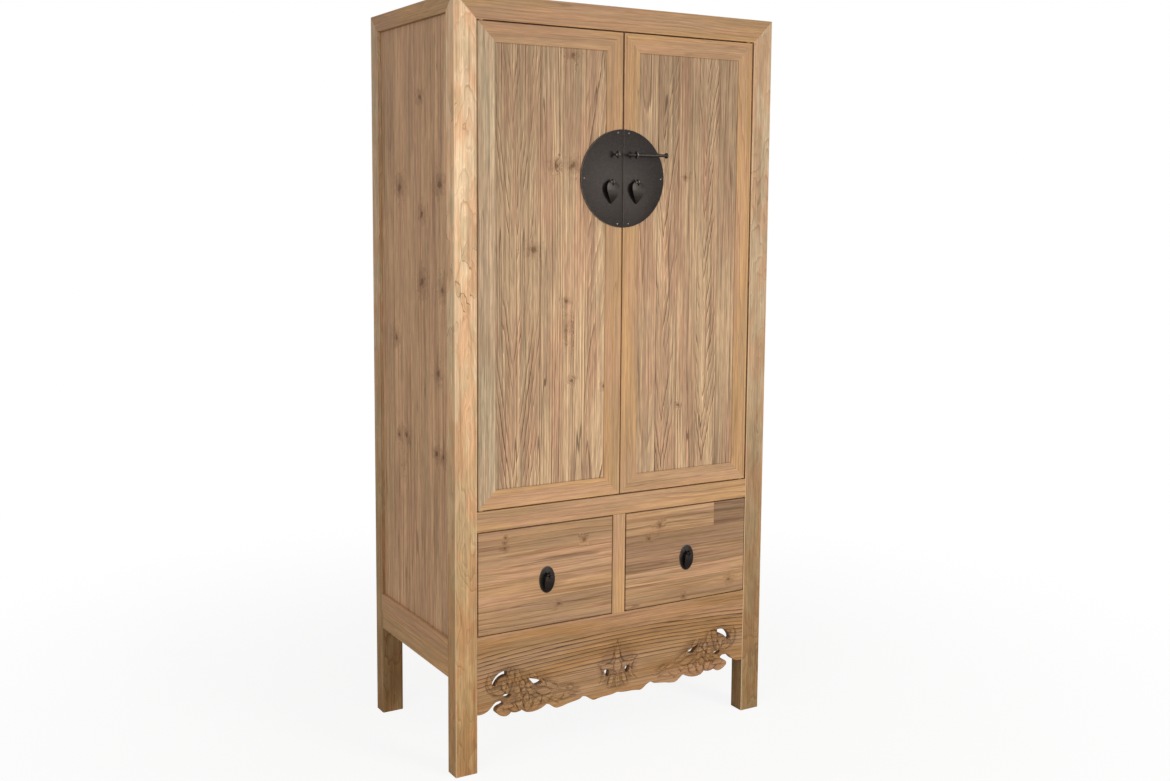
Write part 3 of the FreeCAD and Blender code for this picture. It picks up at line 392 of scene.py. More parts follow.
    # Painted highlight: the early wood just after each ridge is drawn brighter, where the raised
    # grain would catch the light.
    ridge_highlight = add(tree, "ShaderNodeMapRange", (season, 0.02, 0.3, look["ridge_highlight"], 0.0), **SMOOTH)
    ridge_highlight = add(tree, "ShaderNodeMath", (ridge_highlight, shown), operation="MULTIPLY")
    patch = noise_at(*look["patch_size"]).node.outputs["Color"]
    patch = add(tree, "ShaderNodeSeparateXYZ", (patch,)).node.outputs
    limits = (patch[0], 0.44, 0.58, 0.0, look["tinting"])
    tinted = add(tree, "ShaderNodeMapRange", limits, **SMOOTH)
    limits = (patch[1], 0.48, 0.6, 0.0, look["greying"])
    greyed = add(tree, "ShaderNodeMapRange", limits, **SMOOTH)
    body = look["pale"]
    for part, other in (
        (tinted, look["tint"]),
        (greyed, look["grey"]),
        (strength, look["ridge"]),
        (streak, look["ridge"]),
    ):
        body = add(tree, "ShaderNodeMix", (part, body, other), data_type="RGBA")
    for part, *limits in (
        (look["figure"], line, 0.35, 0.65, 0.93, 1.07),
        (look["figure"], fibre, 0.38, 0.62, 0.82, 1.14),
        (look["figure"], pore, 0.35, 0.65, 0.88, 1.1),
        (1.0, band, 0.35, 0.65, 0.92, 1.06),
        # The painted highlight beside each ridge brightens the colour by up to 1.3 times.
        (1.0, ridge_highlight, 0.0, 1.0, 1.0, 1.3),
        (1.0, lightness, 0.0, 1.0, 0.55, 1.1),
    ):
        factor = add(tree, "ShaderNodeMapRange", limits, **SMOOTH)
        body = add(tree, "ShaderNodeMix", (part, body, factor), **MULTIPLIED)
    if "stained" in look:
        body = stained(tree, look, spot, height, lightness, body)
    # Painted shade toward the floor: the colour darkens toward the feet, partly as damp and partly
    # as the shade of light that falls off toward the floor.
    damp_and_shade = add(tree, "ShaderNodeMapRange", (height, 0.0, 1.7, look["damp_and_shade"], 0.0), **SMOOTH)
    body = add(tree, "ShaderNodeMix", (damp_and_shade, body, wood.damp_and_shade), **MULTIPLIED)
    # Painted shade toward the top: above 1.25 m the colour darkens, partly as soot and partly as
    # the shade under the top rail.
    soot_and_shade = add(tree, "ShaderNodeMapRange", (height, 1.25, 1.95, 0.0, look["soot_and_shade"]), **SMOOTH)
    rubbed = add(tree, "ShaderNodeMapRange", (band, 0.35, 0.6, 0.25, 0.7), **SMOOTH)
    rubbed = add(tree, "ShaderNodeMath", (worn, rubbed), operation="MULTIPLY")
    # Old wax in the joints, painted shade along frames' edges and on the edges that line a gap,
    # and the carving drawn darker the deeper it is cut.
    wax_and_shade = add(tree, "ShaderNodeMath", (grime, gap), operation="ADD")
    wax_and_shade = add(tree, "ShaderNodeMath", (wax_and_shade, look["wax_and_shade"]), operation="MULTIPLY")
    halo = add(tree, "ShaderNodeMath", (halo, 0.45), operation="MULTIPLY")
    core = add(tree, "ShaderNodeMath", (core, look["hearts"]), operation="MULTIPLY")
    for part, other in (
        (check, wood.grime),
        (soot_and_shade, wood.grime),
        (halo, look["ridge"]),
        (core, wood.knot),
        (rubbed, look["pale"]),
        (wax_and_shade, wood.grime),
    ):
        body = add(tree, "ShaderNodeMix", (part, body, other), data_type="RGBA")

    relief = add(tree, "ShaderNodeMath", (line, 0.6), operation="MULTIPLY")
    for part, amount in ((ring, 0.7), (streak, -0.8), (core, -0.9), (check, -1.4)):
        relief = add(tree, "ShaderNodeMath", (part, amount, relief), operation="MULTIPLY_ADD")
    bump = {"Height": relief, "Strength": 0.6, "Distance": 1.0 * MM}
    surface = {
        "Base Color": body,
        "Roughness": add(tree, "ShaderNodeMapRange", (ring, 0.0, 1.0, 0.64, 0.52), **SMOOTH),
        "IOR": 1.45,
        "Specular IOR Level": 0.3,
        "Normal": add(tree, "ShaderNodeBump", bump),
    }
    shader = add(tree, "ShaderNodeBsdfPrincipled", surface)
    add(tree, "ShaderNodeOutputMaterial", {"Surface": shader})
    return material


def stained(tree, look, spot, height, lightness, body):
    """Spalted wood: thin dark loops that a fungus drew, in the upper part of the palest post."""
    wood = bpy.context.scene.cupboard_wood
    low, high = look["stained"]
    fade = 0.15
    size = add(tree, "ShaderNodeVectorMath", (spot, (30.0, 30.0, 11.0)), operation="MULTIPLY")
    loops = add(tree, "ShaderNodeTexNoise", (size, 1.0, 2.0, 0.5))
    edge = add(tree, "ShaderNodeMath", (loops, 0.56), operation="SUBTRACT")
    edge = add(tree, "ShaderNodeMath", (edge,), operation="ABSOLUTE")
    broad = add(tree, "ShaderNodeTexNoise", (spot, 6.0, 1.0))
    shares = (
        ((edge, 0.0, 0.018, 1.0, 0.0), (broad, 0.42, 0.56, 0.1, 0.8)),
        ((loops, 0.55, 0.62, 0.0, 0.3), (broad, 0.3, 0.5, 0.6, 1.0)),
    )
    reach = (
        (height, low, low + fade, 0.0, 1.0),
        (height, high - fade, high, 1.0, 0.0),
        (lightness, 0.82, 0.88, 0.0, 1.0),
    )
    for parts, other in zip(shares, (wood.stain, look["ridge"])):
        whole = 1.0
        for limits in (*parts, *reach):
            part = add(tree, "ShaderNodeMapRange", limits, **SMOOTH)
            whole = add(tree, "ShaderNodeMath", (whole, part), operation="MULTIPLY")
        body = add(tree, "ShaderNodeMix", (whole, body, other), data_type="RGBA")
    return body


def waxed_iron(name, polish_and_highlight):
    """Wrought sheet and bar iron, hammered, blackened and waxed: a dark brown-grey skin with soft
    dull lights, low hammer marks and a little thin rust. Rims are drawn brighter, as rubbed wear
    and painted highlight, and so is what hands touch, by its polish, which makes the iron both
    glossier and paler: the paleness is painted highlight."""
    iron = bpy.context.scene.cupboard_iron
    material, tree = new_material(name)
    spot = add(tree, "ShaderNodeTexCoord").node.outputs["Object"]
    # Hammer marks about 9 mm wide; the skin's mottling is drawn at 2 mm so that it shows.
    marks = add(tree, "ShaderNodeTexNoise", (spot, 110.0, 2.0))
    mottle = add(tree, "ShaderNodeTexNoise", (spot, 480.0, 3.0))
    # On polished pieces the paler mottle is painted highlight. Worn marks add rubbed wear and the
    # painted highlights of rims and pull shoulders.
    bright = add(tree, "ShaderNodeMapRange", (mottle, 0.5, 0.8, polish_and_highlight * 0.5, 0.12 + polish_and_highlight))
    rubbed = add(tree, "ShaderNodeAttribute", attribute_name="worn").node.outputs["Fac"]
    rubbed = add(tree, "ShaderNodeMath", (rubbed, 0.5), operation="MULTIPLY")
    bright = add(tree, "ShaderNodeMath", (bright, rubbed), operation="MAXIMUM")
    rusty = add(tree, "ShaderNodeMapRange", (marks, 0.5, 0.75, 0.0, 0.5))
    skin = add(tree, "ShaderNodeMix", (rusty, iron.iron, iron.rust), data_type="RGBA")
    skin = add(tree, "ShaderNodeMix", (bright, skin, iron.worn_iron), data_type="RGBA")
    limits = (mottle, 0.3, 0.7, 0.42 - polish_and_highlight / 2, 0.58 - polish_and_highlight / 2)
    bump = {"Height": marks, "Strength": 0.5, "Distance": 0.6 * MM}
    surface = {
        "Base Color": skin,
        "Metallic": 0.7,
        "Roughness": add(tree, "ShaderNodeMapRange", limits),
        "Normal": add(tree, "ShaderNodeBump", bump),
    }
    shader = add(tree, "ShaderNodeBsdfPrincipled", surface)
    add(tree, "ShaderNodeOutputMaterial", {"Surface": shader})
    return material


def elm_look(name, wood):
    """What sets one elm finish off from the next: colours, shares, and sizes across and along
    the grain in mm; heights and spacings in metres; knots' places and radii in mm."""
    ring = wood.ring_spacing
    plain = {
        "tint": wood.board_tint,
        "grey": wood.board_grey,
        "spacing": ring,
        "contrast": 0.5,
        "even": 0.2,
        "patch_size": (50.0, 450.0),
        "tinting": 0.45,
        "greying": 0.3,
        "sway": 0.03,
        "sway_size": (60.0, 400.0),
        "ragged": 0.25,
        "fading": 0.6,
        "ridge_highlight": 0.4,
        "figure": 1.0,
        "streaks": 0.3,
        "streak_size": (6.0, 300.0),
        "checks": 0.45,
        "knots": 0.04,
        "knot_places": (),
        "hearts": 0.65,
        "damp_and_shade": 0.0,
        "soot_and_shade": 0.12,
        "wax_and_shade": 0.45,
    }
    looks = {
        "brushed_elm_posts": {
            "pale": wood.post_pale,
            "ridge": wood.post_ridge,
            "tint": wood.post_tint,
            "grey": wood.post_grey,
            "contrast": 0.5,
            "even": 0.1,
            "patch_size": (32.0, 120.0),
            "tinting": 0.65,
            "greying": 0.4,
            "sway": 0.06,
            "sway_size": (50.0, 150.0),
            "streaks": 0.2,
            "checks": 0.15,
            "figure": 0.6,
            "stained": (1.05, 1.95),
            "damp_and_shade": 0.97,
        },
        "brushed_elm_rails": {
            "pale": wood.rail_pale,
            "ridge": wood.rail_ridge,
            "contrast": 0.45,
            "tinting": 0.6,
            "streaks": 0.22,
            "figure": 0.55,
            "checks": 0.25,
        },
        "weathered_elm": {
            "pale": wood.stile_pale,
            "ridge": wood.stile_ridge,
            "tinting": 0.3,
            "knots": 0.0,
        },
        "brushed_elm_boards": {
            "pale": wood.board_pale,
            "ridge": wood.board_ridge,
            "spacing": ring * 0.95,
            "ragged": 0.28,
            "fading": 0.15,
            "ridge_highlight": 1.0,
            "even": 0.05,
            "contrast": 1.0,
            "tinting": 0.7,
            "greying": 0.45,
            "sway": 0.014,
            "sway_size": (60.0, 600.0),
            "streaks": 0.35,
            "streak_size": (4.0, 500.0),
            "checks": 0.7,
            "soot_and_shade": 0.28,
            "knot_places": DOOR_KNOTS,
        },
        "brushed_elm_sides": {
            "pale": wood.side_pale,
            "ridge": wood.side_ridge,
            "spacing": ring * 1.7,
            "contrast": 0.3,
            "tinting": 0.6,
            "streaks": 0.3,
            # Seen at a slant, so the streaks are drawn twice as coarse.
            "streak_size": (11.0, 420.0),
            "knots": 0.12,
            "knot_places": SIDE_KNOTS,
        },
        "brushed_elm_drawers": {
            "pale": wood.drawer_pale,
            "ridge": wood.drawer_ridge,
            "spacing": ring * 2.0,
            "contrast": 0.55,
            "tinting": 0.6,
            "figure": 0.5,
            "streaks": 0.4,
            "streak_size": (9.0, 380.0),
            "hearts": 0.5,
            "knot_places": DRAWER_KNOTS,
        },
        "brushed_elm_apron": {
            "pale": wood.apron_pale,
            "ridge": wood.apron_ridge,
            "spacing": ring * 1.4,
            "contrast": 1.0,
            "even": 0.6,
            "fading": 1.0,
            "sway": 0.012,
            "sway_size": (60.0, 500.0),
            "figure": 0.6,
            "knots": 0.0,
            "checks": 0.2,
            "wax_and_shade": 0.7,
            "strong": (0.19, 0.245, 0.313, 0.328),
        },
        "sawn_inner_elm": {
            "pale": wood.inner_pale,
            "ridge": wood.inner_ridge,
            "contrast": 0.6,
        },
    }
    return {**plain, **looks[name]}


def finish(name):
    """The named finish, made on its first use."""
    if name in bpy.data.materials:
        return bpy.data.materials[name]
    # Polish makes the iron glossier and paints it paler. The paleness is painted highlight, most
    # on the eyes and nails.
    polish_and_highlight = {"blackened_wrought_iron": 0.0, "hand_rubbed_iron": 0.12, "bright_iron": 0.6}
    if name in polish_and_highlight:
        return waxed_iron(name, polish_and_highlight[name])
    return waxed_elm(name, elm_look(name, bpy.context.scene.cupboard_wood))


def body_of(node):
    for body, members in frame["record"]["behaviour"]["bodies"].items():
        if node in members:
            return body
    raise RuntimeError(f"no body holds {node}")


def settle(name, mesh, material, slot, node):
    """Makes the piece that stands for the node, in the material's finish, and rides on its body.
    The slot is not used.
    """
    mesh.name = name
    mesh.materials.clear()
    mesh.materials.append(finish(material))
    piece = bpy.data.objects.new(name, mesh)
    bpy.context.scene.collection.objects.link(piece)
    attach(piece, body_of(node))
    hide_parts(node)


def copy_of(node):
    """The node's mesh, merged, with each flat face in one piece."""
    shape = bmesh.new()
    shape.from_mesh(frame["nodes"][node].data)
    verts = shape.verts
    bmesh.ops.remove_doubles(shape, verts=verts[:], dist=MERGED)
    bmesh.ops.dissolve_limit(shape, angle_limit=FLAT, verts=verts[:], edges=shape.edges[:])
    return shape


def sharp_edges(shape, shortest):
    """Outer edges longer than the shortest, whose two faces are about square to each other."""
    low, high = (math.radians(turn) for turn in SQUARE)
    return [
        edge
        for edge in shape.edges
        if len(edge.link_faces) == 2
        and edge.is_convex
        and edge.calc_length() > shortest
        and low <= edge.calc_face_angle(0.0) <= high
    ]


def bevel(shape, edges, offset, mark="worn", amount=1.0):
    """Rounds the edges and marks the new faces, as worn or as lining a gap."""
    layer = shape.faces.layers.float.get(mark) or shape.faces.layers.float.new(mark)
    if edges:
        made = bmesh.ops.bevel(
            shape,
            geom=edges,
            offset=offset,
            offset_type="OFFSET",
            segments=2,
            profile=0.5,
            affect="EDGES",
            clamp_overlap=False,
        )
        for face in made["faces"]:
            face[layer] = amount


def to_mesh(shape, name):
    mesh = bpy.data.meshes.new(name)
    shape.to_mesh(mesh)
    shape.free()
    return mesh


def smoothed(mesh, degrees=35.0):
    mesh.shade_smooth()
    mesh.set_sharp_from_angle(angle=math.radians(degrees))
    return mesh


def solids_of(mesh):
    """The mesh's separate solids, as lists of vertex numbers."""
    shape = bmesh.new()
    shape.from_mesh(mesh)
    seen = set()
    groups = []
    for start in shape.verts:
        if start.index in seen:
            continue
        seen.add(start.index)
        group, queue = [], [start]
        while queue:
            vertex = queue.pop()
            group.append(vertex.index)
            for edge in vertex.link_edges:
                other = edge.other_vert(vertex)
                if other.index not in seen:
                    seen.add(other.index)
                    queue.append(other)
        groups.append(group)
    shape.free()
    return groups


def grow(mesh, along, through, planks=None, blocks=()):
    """Writes on the mesh where its wood lay in the tree. planks hold, for each solid in turn, the
    heart's place (mm across from the solid's middle, mm deep), its lean, and the plank's
    lightness, bend, seed and pointed share; None leaves a value to a seeded chance.
    blocks hold (low across, high across, low along, high along, plank), in mm from the middle,
    for glued pieces."""
    across = 3 - along - through
    co = np.zeros(len(mesh.vertices) * 3)
    mesh.vertices.foreach_get("co", co)
    co = co.reshape(-1, 3)
    grain = np.zeros_like(co)
    pith, tone = (np.zeros((len(mesh.polygons), 3)) for _ in range(2))
    pointed = np.zeros(len(mesh.polygons))
    first = np.array([polygon.vertices[0] for polygon in mesh.polygons])
    chance = random.Random(mesh.name)

    def mark(faces, plank):
        guess = [*(chance.uniform(*limits) for limits in PLANK_CHANCES), 0.0]
        plank = (*(plank or ()), *guess[len(plank or ()) :])
        plank = [g if p is None else p for p, g in zip(plank, guess)]
        heart, depth, lean, lightness, bend, seed, pointed[faces] = plank
        pith[faces] = (heart * MM, depth * MM, lean)
        tone[faces] = (lightness, seed, bend)

    groups = sorted(solids_of(mesh), key=lambda g: (round(co[g, across].mean(), 4), g[0]))
    for index, group in enumerate(groups):
        middle = (co[group].min(0) + co[group].max(0)) / 2
        grain[group] = (co[group] - middle)[:, (across, through, along)]
        mark(np.isin(first, group), planks[index % len(planks)] if planks else None)
    if blocks:
        centres = [grain[list(polygon.vertices)].mean(0) / MM for polygon in mesh.polygons]
        x, _, z = np.array(centres).T
        for low, high, start, end, plank in blocks:
            mark((x > low) & (x < high) & (z > start) & (z < end), plank)
    for name, domain, values in (
        ("grain", "POINT", grain),
        ("pith", "FACE", pith),
        ("tone", "FACE", tone),
    ):
        attribute = mesh.attributes.new(name, "FLOAT_VECTOR", domain)
        attribute.data.foreach_set("vector", values.ravel())
    mesh.attributes.new("pointed", "FLOAT", "FACE").data.foreach_set("value", pointed)


def cut_at(shape, axis, value):
    """Parts the shape's faces along a plane, and leaves it whole."""
    normal = Vector([float(axis == i) for i in (X, Y, Z)])
    geometry = shape.verts[:] + shape.edges[:] + shape.faces[:]
    bmesh.ops.bisect_plane(
        shape, geom=geometry, dist=TOUCH, plane_co=normal * value, plane_no=normal
    )


def dress(node, along, through, material, slot, planks=None, blocks=(), gaps=None):
    """A copy of the node with worn arrises along its grain. blocks part a glued front, and gaps
    is the share of the node's length from which its edges line a gap; these are painted darker,
    as old wax and as the shade in the gap."""
    wood = bpy.context.scene.cupboard_wood
    shape = copy_of(node)
    low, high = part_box(node)
    lining = sharp_edges(shape, gaps * (high - low)[along]) if gaps else []
    # Edges that line a gap are painted darker: old wax and painted shade of the gap.
    bevel(shape, lining, wood.gap_arris, "gap", wood.gap_wax_and_shade)
    long_edges = [
        edge
        for edge in sharp_edges(shape, SHORTEST_ARRIS)
        if abs((edge.verts[0].co - edge.verts[1].co).normalized()[along]) > WITH_GRAIN
    ]
    bevel(shape, long_edges, wood.arris)
    across = 3 - along - through
    middle = (low + high) / 2
    for axis, first in ((across, 0), (along, 2)):
        for value in sorted({v for block in blocks for v in block[first : first + 2]}):
            if abs(value) * MM < (high - low)[axis] / 2:
                cut_at(shape, axis, middle[axis] + value * MM)
    mesh = to_mesh(shape, f"{node}_dressed")
    if blocks:
        chance = random.Random(node)
        joints = [
            (across, middle[across] + value * MM, chance.uniform(0.4, 1.2))
            for value in sorted({block[0] for block in blocks})[1:]
        ]
        grimed_and_shaded(mesh, (), wood.border, joints)
    grow(mesh, along, through, planks, blocks)
    settle(f"{node}_dressed", mesh, material, slot, node)


def grower(name, inputs, build):
    """The named tree of Geometry Nodes, built on its first use. inputs hold its sockets' kinds
    by name, and what build returns is made real and takes the material."""
    if name in bpy.data.node_groups:
        return bpy.data.node_groups[name]
    tree = bpy.data.node_groups.new(name, "GeometryNodeTree")
    face = tree.interface
    face.new_socket("Geometry", in_out="OUTPUT", socket_type="NodeSocketGeometry")
    for label, kind in inputs.items():
        face.new_socket(label, in_out="INPUT", socket_type=f"NodeSocket{kind}")
    given = tree.nodes.new("NodeGroupInput").outputs
    made = add(tree, "GeometryNodeRealizeInstances", (build(tree, given),))
    coat = {"Geometry": made, "Material": given["Material"]}
    add(tree, "NodeGroupOutput", (add(tree, "GeometryNodeSetMaterial", coat),))
    return tree


def upright_boards(tree, given):
    """Boards side by side: each a rounded strip, set a hair in or out of line with the next."""
    width = add(tree, "ShaderNodeMath", (given["Pitch"], given["Gap"]), operation="SUBTRACT")
    size = (width, given["Thickness"])
    strip = add(tree, "GeometryNodeCurvePrimitiveQuadrilateral", size)
    corners = (strip, 2, given["Arris"], True)
    strip = add(tree, "GeometryNodeFilletCurve", corners, mode="POLY")
    half = add(tree, "ShaderNodeMath", (given["Height"], 0.5), operation="MULTIPLY")
    foot = add(tree, "ShaderNodeMath", (half, -1.0), operation="MULTIPLY")
    ends = {
        "Start": add(tree, "ShaderNodeCombineXYZ", (0.0, 0.0, foot)),
        "End": add(tree, "ShaderNodeCombineXYZ", (0.0, 0.0, half)),
    }
    path = add(tree, "GeometryNodeCurvePrimitiveLine", ends)
    inputs = {"Curve": path, "Profile Curve": strip, "Fill Caps": True}
    board = add(tree, "GeometryNodeCurveToMesh", inputs)
    steps = add(tree, "ShaderNodeMath", (given["Count"], 1.0), operation="SUBTRACT")
    start = add(tree, "ShaderNodeMath", (steps, given["Pitch"]), operation="MULTIPLY")
    start = add(tree, "ShaderNodeMath", (start, -0.5), operation="MULTIPLY")
    inputs = {
        "Count": given["Count"],
        "Start Location": add(tree, "ShaderNodeCombineXYZ", (start,)),
        "Offset": add(tree, "ShaderNodeCombineXYZ", (given["Pitch"],)),
    }
    row = add(tree, "GeometryNodeMeshLine", inputs, mode="OFFSET")
    made = add(tree, "GeometryNodeInstanceOnPoints", {"Points": row, "Instance": board})
    back = add(tree, "ShaderNodeMath", (given["Play"], -1.0), operation="MULTIPLY")
    limits = (back, given["Play"], None, given["Seed"])
    chance = add(tree, "FunctionNodeRandomValue", limits, data_type="FLOAT")
    move = add(tree, "ShaderNodeCombineXYZ", (0.0, chance, 0.0))
    inputs = {"Instances": made, "Translation": move}
    return add(tree, "GeometryNodeTranslateInstances", inputs)


def nail_heads(tree, given):
    """A domed head, half sunk, on every point of the mesh."""
    dome = add(tree, "GeometryNodeMeshUVSphere", (14, 10, 1.0))
    dome = add(tree, "GeometryNodeSetShadeSmooth", {"Geometry": dome})
    size = (given["Radius"], given["Height"], given["Radius"])
    size = add(tree, "ShaderNodeCombineXYZ", size)
    inputs = {"Points": given["Geometry"], "Instance": dome, "Scale": size}
    return add(tree, "GeometryNodeInstanceOnPoints", inputs)


BOARD_INPUTS = {
    "Count": "Int",
    "Pitch": "Float",
    "Gap": "Float",
    "Height": "Float",
    "Thickness": "Float",
    "Arris": "Float",
    "Play": "Float",
    "Seed": "Int",
    "Material": "Material",
}
NAIL_INPUTS = {
    "Geometry": "Geometry",
    "Radius": "Float",
    "Height": "Float",
    "Material": "Material",
}


def grown_from(tree, mesh, **values):
    """Runs the tree over the mesh, with its inputs by name, and returns the plain mesh."""
    carrier = bpy.data.objects.new("carrier", mesh)
    modifier = carrier.modifiers.new("grow", "NODES")
    modifier.node_group = tree
    for item in tree.interface.items_tree:
        if item.item_type == "SOCKET" and item.in_out == "INPUT" and item.name in values:
            modifier[item.identifier] = values[item.name]
    bpy.context.scene.collection.objects.link(carrier)
    bpy.context.view_layer.update()
    depsgraph = bpy.context.evaluated_depsgraph_get()
    result = bpy.data.meshes.new_from_object(carrier.evaluated_get(depsgraph))
    carrier.modifiers.remove(modifier)
    bpy.data.objects.remove(carrier)
    return result


def grimed_and_shaded(mesh, bounds, border, joints=()):
    """Painted shade along a frame's edge, where the frame shades the boards, and old wax in the
    boards' joints. bounds hold (axis, low, high) of what the frame leaves open, in metres, and
    the shade fades out over the border; joints hold (axis, place, share), and it fades out over
    half the border on both sides."""
    shape = bmesh.new()
    shape.from_mesh(mesh)
    reach = border / 2
    for axis, low, high in bounds:
        for value in (low, low + border, high - border, high):
            cut_at(shape, axis, value)
    for axis, place, _ in joints:
        cut_at(shape, axis, place - reach)
        cut_at(shape, axis, place + reach)
    shape.to_mesh(mesh)
    shape.free()
    values = []
    for vertex in mesh.vertices:
        shares = [0.0]
        if bounds:
            inside = min(min(vertex.co[a] - low, high - vertex.co[a]) for a, low, high in bounds)
            shares.append(1.0 - inside / border)
        for axis, place, share in joints:
            shares.append(share * (1.0 - abs(vertex.co[axis] - place) / reach))
        values.append(min(1.0, max(shares)))
    mesh.attributes.new("grime", "FLOAT", "POINT").data.foreach_set("value", values)


def boards(node, count, along, through, material, slot, planks=None, open_part=(), dark=()):
    """The node's boards: count of them, filling its box, along and through those axes.
    open_part says what the frame round them leaves open, and dark numbers the joints that show
    most."""
    wood = bpy.context.scene.cupboard_wood
    low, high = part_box(node)
    size = high - low
    across = 3 - along - through
    pitch = size[across] / count
    mesh = grown_from(
        grower("Upright boards", BOARD_INPUTS, upright_boards),
        bpy.data.meshes.new("empty"),
        Count=count,
        Pitch=pitch,
        Gap=wood.board_gap,
        Height=size[along],
        Thickness=size[through] - wood.board_play * 2,
        Arris=wood.board_arris,
        Play=wood.board_play,
        Seed=len(node),
        Material=finish(material),
    )
    turn = Matrix([[float(axis == i) for axis in (across, through, along)] for i in (X, Y, Z)])
    mesh.transform(Matrix.Translation((low + high) / 2) @ turn.to_4x4())
    if turn.determinant() < 0:
        mesh.flip_normals()
    mesh.name = f"{node}_dressed"
    chance = random.Random(node)
    joints = [
        (across, low[across] + pitch * i, DARK_JOINT if i in dark else chance.uniform(0.2, 0.9))
        for i in range(1, count)
    ]
    grimed_and_shaded(mesh, open_part, wood.border, joints)
    grow(mesh, along, through, planks)
    settle(f"{node}_dressed", mesh, material, slot, node)


def prism(outline, front, back, rim):
    """A plate: the outline (across, up) in mm from front to back, its front rim rounded."""
    shape = bmesh.new()
    face = shape.faces.new([shape.verts.new((x * MM, front * MM, z * MM)) for x, z in outline])
    face.normal_update()
    if face.normal.y > 0:
        face.normal_flip()
    made = bmesh.ops.extrude_face_region(shape, geom=[face])
    back_verts = [v for v in made["geom"] if isinstance(v, bmesh.types.BMVert)]
    bmesh.ops.translate(shape, verts=back_verts, vec=(0, (back - front) * MM, 0))
    bmesh.ops.recalc_face_normals(shape, faces=shape.faces[:])
    front_edges = [
        edge
        for edge in shape.edges
        if all(abs(v.co.y - front * MM) < TOUCH for v in edge.verts)
    ]
    # The rounded rim is marked worn and drawn brighter: rubbed wear and a painted highlight where
    # the rim catches the light.
    bevel(shape, front_edges, rim)
    return shape


def skin(shape, loops, start, closed=False):
    """Joins loops of points (mm from the start) with faces, and closes the row or caps it."""
    loops = [[shape.verts.new((Vector(p) + Vector(start)) * MM) for p in loop] for loop in loops]
    pairs = zip(loops, loops[1:] + loops[:1]) if closed else zip(loops, loops[1:])
    faces = [] if closed else [shape.faces.new(loops[0]), shape.faces.new(loops[-1])]
    for here, there in pairs:
        for i in range(len(here)):
            faces.append(shape.faces.new((here[i - 1], here[i], there[i], there[i - 1])))
    bmesh.ops.recalc_face_normals(shape, faces=faces)


def ring_mesh(shape, centre, radius, thick, turns=40, facets=16):
    """A closed ring of round bar about X, added to the shape; sizes in mm."""
    loops = []
    for turn in range(turns):
        angle = math.tau * turn / turns
        loop = []
        for facet in range(facets):
            around = math.tau * facet / facets
            reach = radius + thick / 2 * math.cos(around)
            side = thick / 2 * math.sin(around)
            loop.append((side, reach * math.cos(angle), reach * math.sin(angle)))
        loops.append(loop)
    skin(shape, loops, centre, closed=True)


def bar_mesh(shape, low, high, rim=0.5):
    """A small square bar with rounded edges, added to the shape; sizes in mm."""
    made = bmesh.ops.create_cube(shape, size=1.0)
    size = [b - a for a, b in zip(low, high)]
    middle = [(a + b) / 2 for a, b in zip(low, high)]
    for vertex in made["verts"]:
        vertex.co = Vector([vertex.co[i] * size[i] + middle[i] for i in (X, Y, Z)]) * MM
    edges = list({edge for vertex in made["verts"] for edge in vertex.link_edges})
    bevel(shape, edges, rim * MM)


def lathe_mesh(shape, profile, start, turns=32):
    """A turned piece: profile is (along X, radius) in mm, from the start."""
    angles = [math.tau * turn / turns for turn in range(turns)]
    loops = [[(x, r * math.cos(a), r * math.sin(a)) for a in angles] for x, r in profile]
    skin(shape, loops, start)


def millimetres_of(node):
    """The node's box in mm, with its middle."""
    low, high = (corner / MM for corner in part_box(node))
    return low, high, (low + high) / 2


def eye_mesh(shape, x, level, surface, back, reach, radius, strip):
    """A cotter eye: a ring on the end of a square stem, its legs clenched on the wood's back."""
    ring_y = surface - reach
    ring_mesh(shape, (x, ring_y, level), radius, strip)
    half, leg, clench = strip / 2, 1.4, 12
    bar_mesh(shape, (x - half, ring_y + radius, level - half), (x + half, surface, level + half))
    bar_mesh(shape, (x - leg, surface, level - leg), (x + leg, back, level + leg), 0.2)
    bar_mesh(shape, (x - leg, back, level - clench), (x + leg, back + leg * 2, level + clench))


